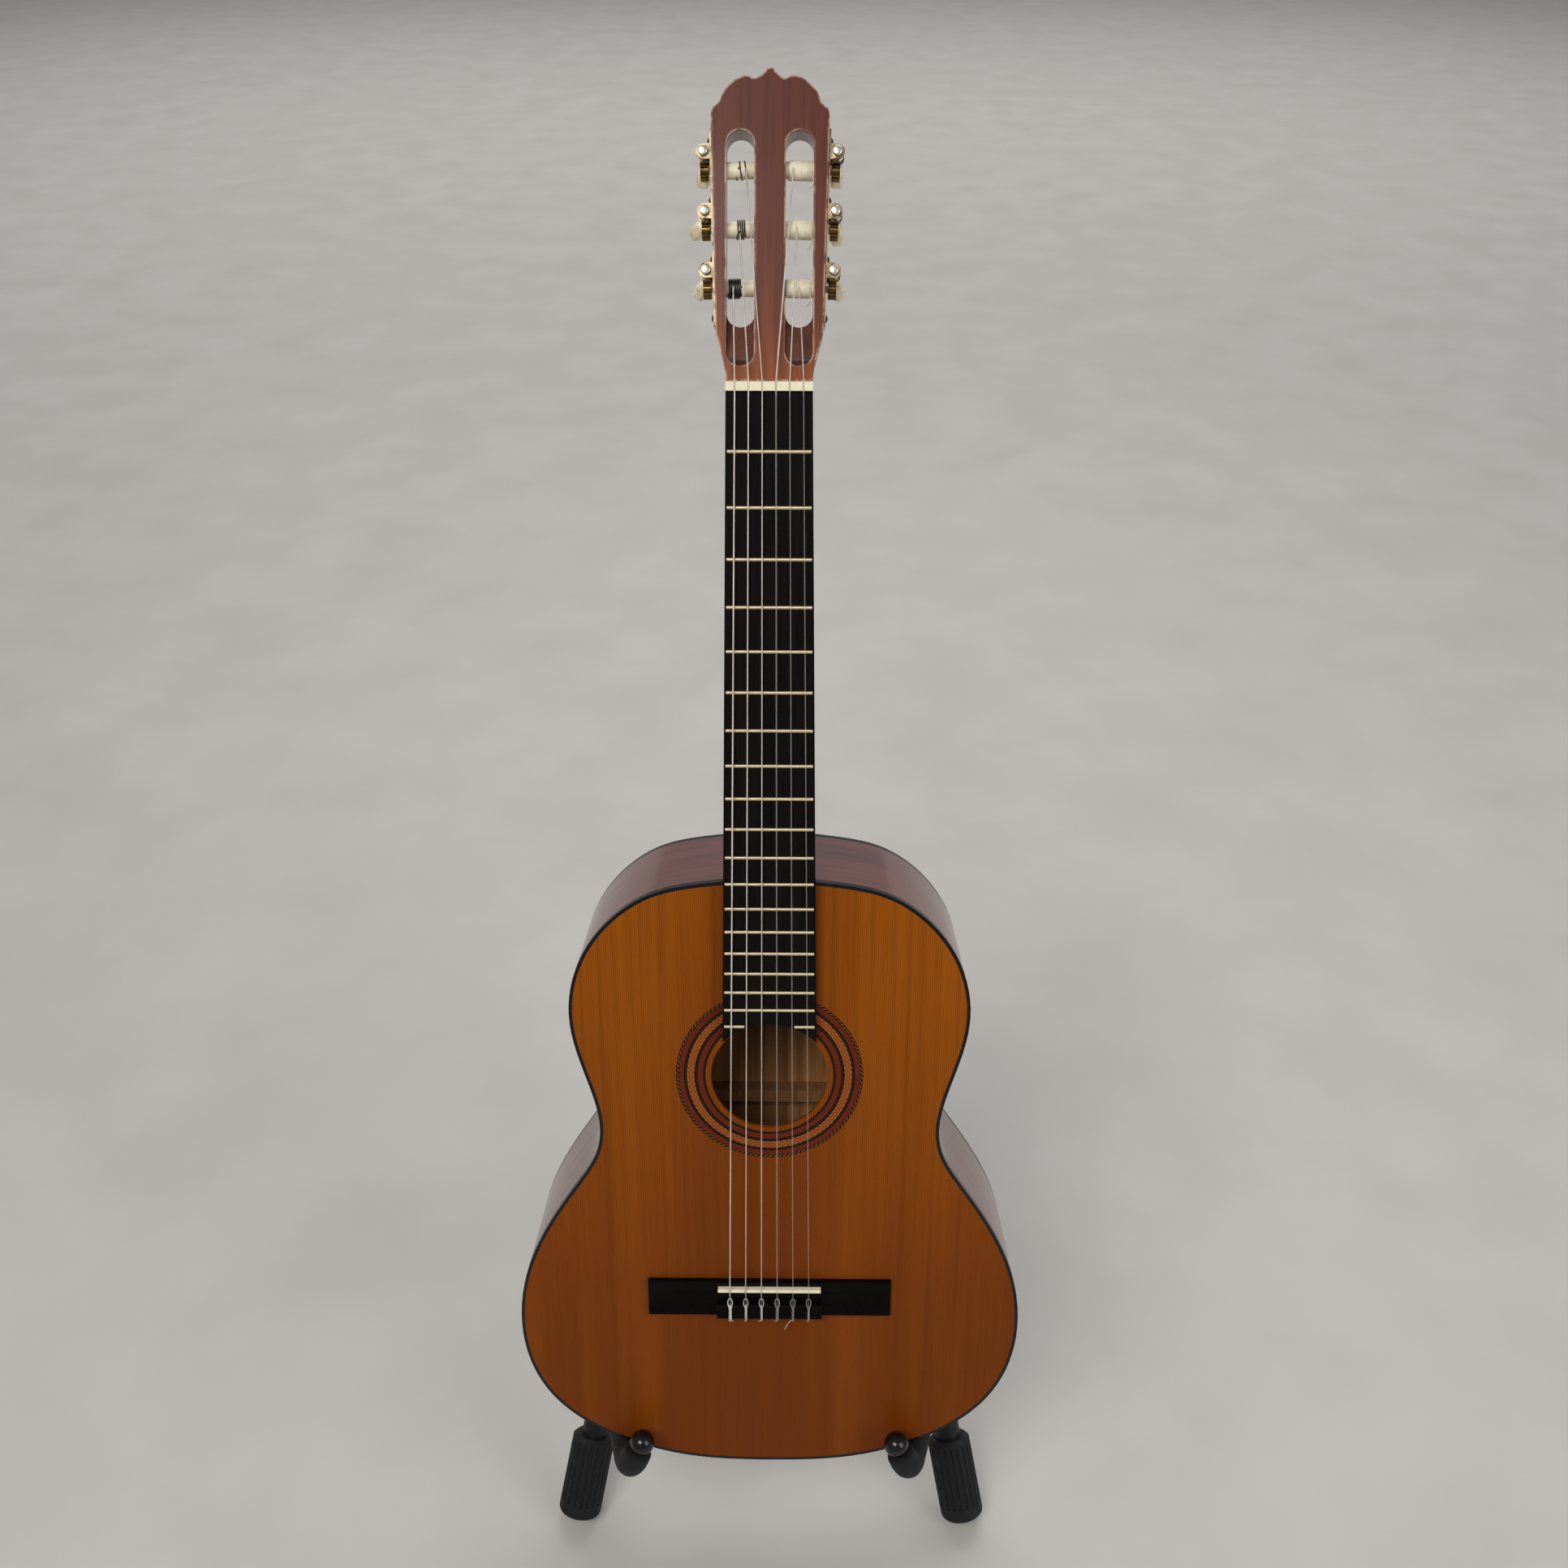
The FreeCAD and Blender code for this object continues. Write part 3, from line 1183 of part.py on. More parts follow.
def make_hinge_pin():
    pivot = hinge_centre()
    inner = size("hub_width") / 2
    outer = inner + size("pin_head_length")
    shank = cylinder("pin_shank", "Sizes.hinge_radius", 2 * outer, Vector(-outer, pivot.y, pivot.z), ALONG_X)
    heads = []
    for name, left in (("pin_head_left", -outer), ("pin_head_right", inner)):
        end = Vector(left, pivot.y, pivot.z)
        heads.append(cylinder(name, "Sizes.pin_head_radius", "Sizes.pin_head_length", end, ALONG_X))
    node(fuse("hinge_pin_solid", shank, *heads), "hinge_pin")


def rear_foot_centre():
    return Vector(0, foot_centre(1).y + size("rear_reach"), size("rear_foot_rise"))


def rear_leg_direction():
    return (hinge_centre() - rear_foot_centre()).normalize()


def make_rear_leg():
    """Straight tube with a solid eye that turns on the hinge pin."""
    pivot = hinge_centre()
    up = rear_leg_direction()
    turn = Rotation(Vector(0, 0, 1), up)
    start = rear_foot_centre() + up * size("foot_base")
    length = (pivot - start).Length
    tube = cylinder("rear_tube", "Sizes.tube_radius", length - 9, start, turn)
    bore = cylinder("rear_tube_bore", "Sizes.tube_radius - Sizes.tube_wall", length - 20, start, turn)
    hollow = cut("rear_tube_hollow", tube, bore)
    half = size("hub_width") / 2 - size("cheek_width") - size("eye_clearance")
    eye = cylinder("rear_eye", "Sizes.eye_radius", 2 * half, Vector(-half, pivot.y, pivot.z), ALONG_X)
    # the tube is narrowed where it enters the hub, so that it clears the cheeks
    cheek_room = []
    for name, left in (("left_room", -half - 30), ("right_room", half)):
        cheek_room.append(box(name, Vector(left, pivot.y - 25, pivot.z - 25), 30, 50, 50))
    pin_bore = cylinder(
        "rear_pin_bore", "Sizes.hinge_radius + Sizes.running_gap", 60, Vector(-30, pivot.y, pivot.z), ALONG_X,
    )
    node(cut("rear_leg_cut", fuse("rear_leg_solid", hollow, eye), pin_bore, *cheek_room), "rear_leg")


def make_rear_foot():
    foot = make_foot("back_foot")
    foot.Placement = Placement(rear_foot_centre(), Rotation(Vector(0, 0, 1), rear_leg_direction()))
    node(cut("rear_foot_cut", foot, below_floor("rear_floor")), "rear_foot")


def collar_centre(side):
    return foot_centre(side) + leg_direction(side) * size("arm_height")


def arm_points(side):
    """Route of an arm: leg, front bend under the body's rim, ball end before the soundboard."""
    bend = Vector(side * size("arm_bend_offset"), -size("arm_bend_front"), size("arm_bend_height"))
    ball = Vector(side * size("ball_offset"), -size("ball_front"), size("ball_height"))
    return [collar_centre(side), GUITAR.multVec(bend), GUITAR.multVec(ball)]


def arm_route(*points):
    return bent_route(points, (size("arm_bend_radius"),))


def mirror_image(name, source):
    """The other side's twin of a piece, across the middle plane."""
    twin = DOC.addObject("Part::Mirroring", name)
    twin.Source = source
    twin.Normal = Vector(1, 0, 0)
    return twin


LEFT = -1  # side of the left arm, which is drawn; the right one mirrors it


def make_arms():
    centre, bend, ball = arm_points(LEFT)
    rod = shaped("arm_rod", tube_shape(arm_route(centre, bend, ball), size("rod_radius")))
    end = DOC.addObject("Part::Sphere", "arm_ball")
    bind(end, Radius="Sizes.ball_radius")
    end.Placement = Placement(ball, Rotation())
    along = leg_direction(LEFT)
    turn = Rotation(Vector(0, 0, 1), along)
    base = centre - along * (size("collar_length") / 2)
    collar = cylinder("arm_collar", "Sizes.collar_radius", "Sizes.collar_length", base, turn)
    bore = cylinder(
        "arm_bore", "Sizes.tube_radius + Sizes.running_gap", "Sizes.collar_length + 40",
        base - along * 20, turn,
    )
    arm = cut("arm_cut", fuse("arm_solid", rod, collar, end), bore)
    node(arm, "arm_left")
    node(mirror_image("arm_mirrored", arm), "arm_right")


def make_arm_pads():
    centre, bend, ball = arm_points(LEFT)
    ahead = (bend - centre).normalize()
    up = (ball - bend).normalize()
    start = centre + ahead * (size("collar_radius") + 3)
    end = ball - up * (size("ball_radius") - 1.5)
    route = arm_route(start, bend, end)
    foam = tube_shape(route, size("arm_foam_radius"))
    core = tube_shape(route, size("rod_radius"))
    room = Part.makeSphere(size("ball_radius"), ball)
    sleeve = shaped("arm_sleeve", foam.cut([core, room]))
    node(sleeve, "arm_pad_left")
    node(mirror_image("arm_sleeve_mirrored", sleeve), "arm_pad_right")


# ------------------------------------------------------------------ assembly

make_soundboard()
make_rosette()
make_bindings()
make_ribs()
make_back_plate()
make_linings()
make_end_blocks()
make_braces()
make_neck()
make_heel_cap()
make_headstock()
make_headplate()
make_fingerboard()
make_frets()
make_nut()
make_bridge()
make_saddle()
make_strings()
make_tuner_plates()
make_plate_screws()
for string in range(6):
    make_roller(string)
    make_gear(string)
    make_worm(string)
    make_button(string)
make_front_frame()
make_front_feet()
make_backrest_pads()
make_hub()
make_hinge_pin()
make_rear_leg()
make_rear_foot()
make_arms()
make_arm_pads()

DOC.recompute()

for item in DOC.Objects:
    if "Invalid" in item.State or "Error" in item.State:
        raise RuntimeError(f"{item.Name} failed: {item.State}")
for item in NODES:
    if item.Shape.isNull() or not item.Shape.isValid():
        raise RuntimeError(f"{item.Label} has no valid shape")

os.makedirs("parts", exist_ok=True)
for item in NODES:
    item.Shape.exportStep(f"parts/{item.Label}.step")
print(len(NODES), "sub-parts written")
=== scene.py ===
import json
import math

import bmesh
import bpy
from mathutils import Matrix, Vector


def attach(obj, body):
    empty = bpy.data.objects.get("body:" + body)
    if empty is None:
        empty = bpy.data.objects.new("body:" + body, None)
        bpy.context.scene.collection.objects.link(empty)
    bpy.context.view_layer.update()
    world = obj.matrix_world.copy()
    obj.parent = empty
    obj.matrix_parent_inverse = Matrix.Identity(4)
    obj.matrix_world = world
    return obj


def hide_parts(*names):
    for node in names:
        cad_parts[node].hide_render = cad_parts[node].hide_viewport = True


# Looks for a classical guitar on a floor stand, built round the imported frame.
# Metres, +Z up, soundboard facing -Y.

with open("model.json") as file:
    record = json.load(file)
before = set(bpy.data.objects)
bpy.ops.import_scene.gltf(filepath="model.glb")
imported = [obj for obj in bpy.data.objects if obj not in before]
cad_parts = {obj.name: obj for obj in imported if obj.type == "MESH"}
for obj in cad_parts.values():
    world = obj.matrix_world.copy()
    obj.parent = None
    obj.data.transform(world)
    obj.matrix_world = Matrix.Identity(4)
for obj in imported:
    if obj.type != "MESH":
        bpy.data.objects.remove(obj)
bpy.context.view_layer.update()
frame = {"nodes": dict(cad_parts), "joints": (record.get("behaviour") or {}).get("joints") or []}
NODES = frame["nodes"]
JOINTS = {joint["name"]: joint for joint in frame["joints"]}
MM = 0.001

# Guitar space: origin at the soundboard's lowest point, z up the neck, y into the body.
GUITAR_BASE = Vector((0, -0.1614, 0.145))
GUITAR_LEAN = math.radians(-17)
# Head space: origin at the nut on the head's face, z up the tilted head.
HEAD_BASE = Vector((0, 0.07727, 0.9342))
HEAD_LEAN = math.radians(-30)
ROW_SPACE = (Vector(), 0.0)
GUITAR_SPACE = (GUITAR_BASE, GUITAR_LEAN)
HEAD_SPACE = (HEAD_BASE, HEAD_LEAN)
GUITAR_MATRIX = Matrix.Translation(GUITAR_BASE) @ Matrix.Rotation(GUITAR_LEAN, 4, "X")

# the direction in which the head's face looks
HEAD_FRONT = (0, -math.cos(HEAD_LEAN), -math.sin(HEAD_LEAN))

STRINGS = range(1, 7)
STRING_RADII = (0.54 * MM, 0.45 * MM, 0.38 * MM, 0.51 * MM, 0.41 * MM, 0.36 * MM)
NUT_HEIGHT = 819 * MM
HOLE_HEIGHT = 343 * MM
ROSETTE_INNER, ROSETTE_OUTER = 45.8 * MM, 67.2 * MM
# from a head slot's middle to the side plate, along the roller
SLOT_TO_SIDE = 16.38 * MM
BARREL_RADIUS = 5 * MM
SADDLE_SPACING = 11.8 * MM
# the bridge's tie block: its two edges up the guitar, and its top above the soundboard
BLOCK_LOW, BLOCK_HIGH = 140.5 * MM, 152.5 * MM
BLOCK_TOP = 9.5 * MM


# ------------------------------------------------------------------ shader helpers


class Shader:
    """One procedural material, with small calls that add nodes to it."""

    def __init__(self, name, space=ROW_SPACE, **settings):
        self.material = bpy.data.materials.new(name)
        self.material.use_nodes = True
        self.tree = self.material.node_tree
        self.surface = self.tree.nodes["Principled BSDF"]
        for socket, value in settings.items():
            self.surface.inputs[socket.replace("_", " ")].default_value = value
        base, lean = space
        coordinates = self.tree.nodes.new("ShaderNodeTexCoord")
        mapping = self.tree.nodes.new("ShaderNodeMapping")
        mapping.vector_type = "TEXTURE"
        mapping.inputs["Location"].default_value = base
        mapping.inputs["Rotation"].default_value = (lean, 0, 0)
        self.link(coordinates.outputs["Object"], mapping.inputs["Vector"])
        self.place = mapping.outputs["Vector"]

    def link(self, output, socket):
        self.tree.links.new(output, socket)

    def feed(self, socket, value):
        """Link a node's output, or set a plain value."""
        if isinstance(value, bpy.types.NodeSocket):
            self.link(value, socket)
        else:
            socket.default_value = value

    def maths(self, operation, first, second=0.0):
        node = self.tree.nodes.new("ShaderNodeMath")
        node.operation = operation
        self.feed(node.inputs[0], first)
        self.feed(node.inputs[1], second)
        return node.outputs[0]

    def axes(self):
        """The place's x, y and z in this material's space."""
        node = self.tree.nodes.new("ShaderNodeSeparateXYZ")
        self.link(self.place, node.inputs[0])
        return node.outputs

    def stretched(self, x, y, z):
        """The place, scaled along each axis, so that noise follows the grain."""
        node = self.tree.nodes.new("ShaderNodeVectorMath")
        node.operation = "MULTIPLY"
        self.link(self.place, node.inputs[0])
        node.inputs[1].default_value = (x, y, z)
        return node.outputs[0]

    def noise(self, scales, detail=3.0, roughness=0.5, distortion=0.0):
        node = self.tree.nodes.new("ShaderNodeTexNoise")
        self.link(self.stretched(*scales), node.inputs["Vector"])
        node.inputs["Scale"].default_value = 1.0
        node.inputs["Detail"].default_value = detail
        node.inputs["Roughness"].default_value = roughness
        node.inputs["Distortion"].default_value = distortion
        return node.outputs["Fac"]

    def spread(self, value, low, high, to_low=0.0, to_high=1.0):
        """Map a value's range to another, held at its ends."""
        node = self.tree.nodes.new("ShaderNodeMapRange")
        self.feed(node.inputs["Value"], value)
        ends = {"From Min": low, "From Max": high, "To Min": to_low, "To Max": to_high}
        for socket, number in ends.items():
            node.inputs[socket].default_value = number
        return node.outputs["Result"]

    def ramp(self, value, stops, steps=False):
        """Colours by value; stops are (position, colour)."""
        node = self.tree.nodes.new("ShaderNodeValToRGB")
        node.color_ramp.interpolation = "CONSTANT" if steps else "LINEAR"
        elements = node.color_ramp.elements
        while len(elements) < len(stops):
            elements.new(0.5)
        for element, (position, colour) in zip(elements, stops):
            element.position = position
            element.color = (*colour, 1)
        self.feed(node.inputs["Fac"], value)
        return node.outputs["Color"]

    def mix(self, factor, first, second):
        """The first colour where the factor is 0, the second where it is 1."""
        node = self.tree.nodes.new("ShaderNodeMix")
        node.data_type = "RGBA"
        self.feed(node.inputs["Factor"], factor)
        for socket, colour in ((node.inputs["A"], first), (node.inputs["B"], second)):
            self.feed(socket, (*colour, 1) if isinstance(colour, tuple) else colour)
        return node.outputs["Result"]

    def colour(self, value):
        self.feed(self.surface.inputs["Base Color"], (*value, 1) if isinstance(value, tuple) else value)

    def roughness(self, value):
        self.feed(self.surface.inputs["Roughness"], value)

    def agreement(self, direction):
        """Cosine of the angle between the face's own normal and a direction in the room."""
        geometry = self.tree.nodes.new("ShaderNodeNewGeometry")
        product = self.tree.nodes.new("ShaderNodeVectorMath")
        product.operation = "DOT_PRODUCT"
        self.link(geometry.outputs["True Normal"], product.inputs[0])
        self.feed(product.inputs[1], direction)
        return product.outputs["Value"]

    def rounded_edge(self, radius):
        """The normal of an edge rounded to a radius, and a mask that is 1 on that rounding."""
        rounded = self.tree.nodes.new("ShaderNodeBevel")
        rounded.samples = 6
        rounded.inputs["Radius"].default_value = radius
        normal = rounded.outputs["Normal"]
        return normal, self.spread(self.agreement(normal), 0.93, 0.992, 1, 0)

    def bump(self, height, depth, strength=1.0, normal=None):
        """Surface relief, depth in metres."""
        node = self.tree.nodes.new("ShaderNodeBump")
        node.inputs["Strength"].default_value = strength
        node.inputs["Distance"].default_value = depth
        self.link(height, node.inputs["Height"])
        if normal is not None:
            self.link(normal, node.inputs["Normal"])
        self.link(node.outputs["Normal"], self.surface.inputs["Normal"])


def scaled(colour, factor):
    return tuple(channel * factor for channel in colour)


# ------------------------------------------------------------------ wood


def rings(shader, axis, period, wander):
    """Thin late-wood lines across an axis (0, 1 or 2), a period apart, bent by a slow wander."""
    across = shader.axes()[axis]
    bend = shader.noise((14, 14, 2.5), detail=2)
    moved = shader.maths("ADD", across, shader.maths("MULTIPLY", bend, wander))
    uneven = shader.noise(tuple(60 if a == axis else 1.5 for a in range(3)), detail=1)
    turns = shader.maths("MULTIPLY", moved, 2 * math.pi / period)
    phase = shader.maths("ADD", turns, shader.maths("MULTIPLY", uneven, 9))
    wave = shader.maths("SINE", phase)
    return shader.maths("POWER", shader.spread(wave, -1, 1), 3)


def make_soundboard():
    """Straight-grained softwood under amber varnish: golden above, redder towards the lower end, the
    brightening towards the neck partly painted light from above.
    """
    shader = Shader(
        "soundboard", GUITAR_SPACE, Coat_Weight=0.06, Coat_Roughness=0.16, Specular_IOR_Level=0.08,
    )
    side, _, height = shader.axes()
    # brighter and more golden towards the neck: partly the board's own tone, partly painted light falling
    # from above
    base = shader.ramp(
        shader.spread(height, 0.02, 0.5),
        [
            (0, (0.205, 0.043, 0.0024)), (0.3, (0.222, 0.048, 0.0026)),
            (0.6, (0.300, 0.073, 0.0034)), (1, (0.400, 0.105, 0.0042)),
        ],
    )
    # a redder, darker strip down the middle, below the neck
    off_middle = shader.spread(shader.maths("ABSOLUTE", side), 0.02, 0.085, 0.55, 0)
    base = shader.mix(off_middle, base, (0.185, 0.037, 0.003))
    cloud = shader.noise((9, 9, 4), detail=4, roughness=0.6)
    tone = shader.mix(shader.spread(cloud, 0.36, 0.66), base, (0.20, 0.044, 0.003))
    tone = shader.mix(0.75, tone, base)
    streak = shader.noise((190, 190, 2.6), detail=4, roughness=0.62)
    tone = shader.mix(shader.spread(streak, 0.46, 0.70, 0, 0.5), tone, (0.155, 0.032, 0.0022))
    band = shader.noise((26, 26, 1.4), detail=2)
    tone = shader.mix(shader.spread(band, 0.50, 0.68, 0, 0.20), tone, (0.46, 0.128, 0.0055))
    lines = rings(shader, 0, 1.45 * MM, 6 * MM)
    fibre = shader.noise((1500, 1500, 26), detail=3, roughness=0.6)
    lines = shader.maths("MULTIPLY", lines, shader.spread(fibre, 0.35, 0.62, 0.35, 1))
    tone = shader.mix(shader.maths("MULTIPLY", lines, 0.55), tone, (0.085, 0.018, 0.0015))
    # short pores and drying cracks in the varnish
    pore = shader.noise((2300, 2300, 90), detail=2)
    tone = shader.mix(shader.spread(pore, 0.66, 0.74, 0, 0.45), tone, (0.06, 0.016, 0.003))
    shader.colour(tone)
    shader.roughness(shader.spread(cloud, 0.3, 0.7, 0.34, 0.46))
    shader.bump(shader.maths("ADD", lines, fibre), 0.00006, 0.35)
    return shader.material


def make_dark_wood(name, space, light, dark, along, gloss, bare_inside=False):
    """Coarse-grained hardwood: streaks run along the axes with small scales in 'along'."""
    shader = Shader(name, space, Coat_Weight=gloss, Coat_Roughness=0.07)
    streak = shader.noise(tuple(0.13 * a for a in along), detail=4, roughness=0.62, distortion=0.4)
    fine = shader.noise(along, detail=3, roughness=0.6)
    tone = shader.ramp(
        shader.maths("ADD", shader.maths("MULTIPLY", streak, 0.65), shader.maths("MULTIPLY", fine, 0.35)),
        [(0.34, dark), (0.5, scaled(light, 0.8)), (0.66, light)],
    )
    vessel = shader.noise(tuple(2.2 * a for a in along), detail=1)
    tone = shader.mix(shader.spread(vessel, 0.60, 0.70, 0, 0.5), tone, scaled(dark, 0.4))
    if bare_inside:
        # the face towards the soundboard is unvarnished
        inward = shader.spread(shader.agreement((0, 1, 0)), -0.5, -0.4, 1, 0)
        bare = shader.ramp(streak, [(0.35, (0.24, 0.105, 0.036)), (0.65, (0.50, 0.235, 0.085))])
        tone = shader.mix(inward, tone, bare)
    shader.colour(tone)
    shader.roughness(shader.spread(streak, 0.3, 0.7, 0.30, 0.42))
    shader.bump(vessel, 0.00005, 0.4)
    return shader.material


def make_ebony(name, glow):
    """Near-black wood with a faint brown grain; a smaller glow makes it darker and duller."""
    shader = Shader(name, GUITAR_SPACE, Specular_IOR_Level=0.11 * glow)
    grain = shader.noise((900, 900, 14), detail=4, roughness=0.65)
    broad = shader.noise((60, 60, 5), detail=3)
    dark, light = scaled((0.0018, 0.0016, 0.0016), glow), scaled((0.0070, 0.0056, 0.0050), glow)
    tone = shader.ramp(grain, [(0.3, dark), (0.75, light)])
    tone = shader.mix(shader.spread(broad, 0.5, 0.8, 0, 0.5), tone, scaled((0.011, 0.0066, 0.0048), glow))
    shader.colour(tone)
    shader.roughness(shader.spread(grain, 0.3, 0.7, 0.34, 0.52))
    shader.bump(grain, 0.00005, 0.5)
    return shader.material


def make_worn_ebony():
    """Edges of the bridge, rubbed pale in places."""
    shader = Shader("worn_ebony", GUITAR_SPACE, Specular_IOR_Level=0.3)
    chips = shader.noise((260, 260, 260), detail=4, roughness=0.7)
    black, rubbed, bare = (0.006, 0.005, 0.005), (0.17, 0.14, 0.11), (0.34, 0.28, 0.2)
    shader.colour(shader.ramp(chips, [(0.46, black), (0.56, rubbed), (0.7, bare)]))
    shader.roughness(shader.spread(chips, 0.4, 0.6, 0.35, 0.65))
    shader.bump(chips, 0.0001, 0.4)
    return shader.material


def make_head_veneer():
    """Red-brown head face, more orange near the nut; its rounded edges are glossy and chipped, lightened by a
    painted sheen, with painted highlights among the chips.
    """
    shader = Shader("veneer", HEAD_SPACE, Coat_Roughness=0.12, Specular_IOR_Level=0.24)
    # the edge mask carries a painted sheen and painted highlights as well as the chips
    rounding, edge = shader.rounded_edge(2 * MM)
    # 1 on the head's face, 0 on the slots' walls and on the string ramps
    front = shader.spread(shader.agreement(HEAD_FRONT), 0.93, 0.97)
    edge = shader.maths("MULTIPLY", edge, front)
    height = shader.axes()[2]
    tone = shader.ramp(
        shader.spread(height, 0.0, 0.17),
        [
            (0, (0.300, 0.070, 0.0120)), (0.22, (0.200, 0.042, 0.0100)),
            (0.5, (0.140, 0.030, 0.0120)), (1, (0.125, 0.030, 0.0150)),
        ],
    )
    grain = shader.noise((420, 420, 9), detail=4, roughness=0.65, distortion=0.3)
    tone = shader.mix(shader.spread(grain, 0.42, 0.7, 0, 0.55), tone, (0.030, 0.010, 0.008))
    cloud = shader.noise((30, 30, 12), detail=3)
    tone = shader.mix(shader.spread(cloud, 0.5, 0.75, 0, 0.35), tone, (0.16, 0.042, 0.02))
    # chips along the edges: partly worn wood, their palest spots a painted white highlight
    chips = shader.noise((170, 170, 60), detail=4, roughness=0.7)
    chips_and_glints = shader.maths("MULTIPLY", edge, shader.spread(chips, 0.47, 0.53))
    bright = shader.mix(shader.noise((900, 900, 60), detail=2), (0.62, 0.27, 0.11), (0.95, 0.78, 0.60))
    # painted sheen: every rounded edge lightened to a pale pink-brown, as if catching the light
    tone = shader.mix(shader.maths("MULTIPLY", edge, 0.6), tone, (0.42, 0.19, 0.13))
    tone = shader.mix(front, (0.075, 0.020, 0.012), tone)
    shader.colour(shader.mix(chips_and_glints, tone, bright))
    shader.roughness(shader.spread(cloud, 0.3, 0.7, 0.28, 0.40))
    shader.feed(shader.surface.inputs["Coat Weight"], shader.spread(edge, 0, 1, 0.14, 1))
    shader.bump(grain, 0.00005, 0.4, rounding)
    return shader.material


def make_rosette():
    """Rings of rope, plain wood, fine lines and a wavy mosaic round the soundhole."""
    shader = Shader("rosette", GUITAR_SPACE, Coat_Weight=0.06, Coat_Roughness=0.16, Specular_IOR_Level=0.1)
    x, _, z = shader.axes()
    up = shader.maths("SUBTRACT", z, HOLE_HEIGHT)
    squares = shader.maths("ADD", shader.maths("MULTIPLY", x, x), shader.maths("MULTIPLY", up, up))
    radius = shader.maths("SQRT", squares)
    angle = shader.maths("ARCTAN2", up, x)
    # 0 at the rosette's inner edge, 1 at its outer edge
    past_inner = shader.maths("SUBTRACT", radius, ROSETTE_INNER)
    share = shader.maths("DIVIDE", past_inner, ROSETTE_OUTER - ROSETTE_INNER)
    black, brown, pale = (0.004, 0.002, 0.0015), (0.045, 0.015, 0.004), (0.34, 0.125, 0.026)
    red, deep_red = (0.150, 0.022, 0.0075), (0.092, 0.013, 0.0055)
    bands = [
        (0, brown), (0.097, red), (0.165, deep_red), (0.185, red), (0.262, black), (0.29, brown),
        (0.33, black), (0.375, brown), (0.63, black), (0.652, brown), (0.69, black), (0.73, red),
        (0.80, deep_red), (0.82, red), (0.893, black),
    ]
    tone = shader.ramp(share, bands, steps=True)
    # the two ropes: short slanted dashes
    slant = shader.maths("ADD", shader.maths("MULTIPLY", angle, 118), shader.maths("MULTIPLY", share, 70))
    twist = shader.maths("SINE", slant)
    inner_rope = between(shader, share, 0.012, 0.085)
    tone = shader.mix(shader.maths("MULTIPLY", inner_rope, shader.spread(twist, -0.2, 0.2)), tone, black)
    outer_rope = between(shader, share, 0.915, 0.978)
    outer_dash = shader.maths("MULTIPLY", outer_rope, shader.spread(twist, 0.1, 0.4))
    tone = shader.mix(outer_dash, tone, scaled(pale, 0.8))
    # the mosaic: a pale band with scalloped edges, a row of orange lozenges along its middle
    lozenges, middle = 92, 0.502
    scallops = shader.maths("SINE", shader.maths("MULTIPLY", angle, lozenges))
    scallop = shader.maths("MULTIPLY", scallops, 0.010)
    off = shader.maths("ABSOLUTE", shader.maths("SUBTRACT", share, middle))
    band = shader.spread(shader.maths("ADD", off, scallop), 0.122, 0.112)
    tone = shader.mix(band, tone, pale)
    half_turns = shader.maths("MULTIPLY", angle, lozenges / 2)
    lozenge = shader.maths("ABSOLUTE", shader.maths("SINE", half_turns))
    edge = shader.maths("ADD", shader.maths("MULTIPLY", lozenge, 0.055), 0.036)
    core = shader.spread(shader.maths("SUBTRACT", off, edge), 0.008, -0.004)
    tone = shader.mix(core, tone, (0.270, 0.050, 0.0085))
    inner_edge = shader.maths("MULTIPLY", lozenge, 0.03)
    heart = shader.spread(shader.maths("SUBTRACT", off, inner_edge), 0.006, -0.006)
    tone = shader.mix(heart, tone, (0.37, 0.115, 0.022))
    speck = shader.noise((1400, 1400, 1400), detail=2)
    shader.colour(shader.mix(shader.spread(speck, 0.5, 0.8, 0, 0.35), tone, (0.03, 0.009, 0.004)))
    shader.roughness(0.4)
    shader.bump(speck, 0.00004, 0.3)
    return shader.material


def between(shader, value, low, high):
    """1 where low < value < high."""
    above = shader.maths("GREATER_THAN", value, low)
    return shader.maths("MULTIPLY", above, shader.maths("LESS_THAN", value, high))


def make_bare_wood():
    """Unvarnished inner wood."""
    shader = Shader("bare_wood", GUITAR_SPACE, Specular_IOR_Level=0.2)
    fibre = shader.noise((500, 500, 30), detail=4)
    broad = shader.noise((20, 20, 6), detail=3)
    tone = shader.ramp(fibre, [(0.3, (0.20, 0.088, 0.033)), (0.7, (0.37, 0.18, 0.070))])
    shader.colour(shader.mix(shader.spread(broad, 0.4, 0.7, 0, 0.5), tone, (0.20, 0.092, 0.036)))
    shader.roughness(0.72)
    shader.bump(fibre, 0.0001, 0.5)
    return shader.material


# ------------------------------------------------------------------ plastic, metal, rubber


def make_plain(name, dark, light, rough, scale=220.0, depth=0.00003, space=GUITAR_SPACE, **settings):
    """Smooth stuff with a fine mottle in its colour, gloss and surface."""
    shader = Shader(name, space, **settings)
    speck = shader.noise((scale,) * 3, detail=4, roughness=0.6)
    cloud = shader.noise((scale / 9,) * 3, detail=3)
    tone = shader.ramp(speck, [(0.3, dark), (0.7, light)])
    shader.colour(shader.mix(shader.spread(cloud, 0.45, 0.8, 0, 0.5), tone, dark))
    shader.roughness(shader.spread(cloud, 0.3, 0.7, rough * 0.82, rough * 1.18))
    shader.bump(speck, depth, 0.5)
    return shader.material


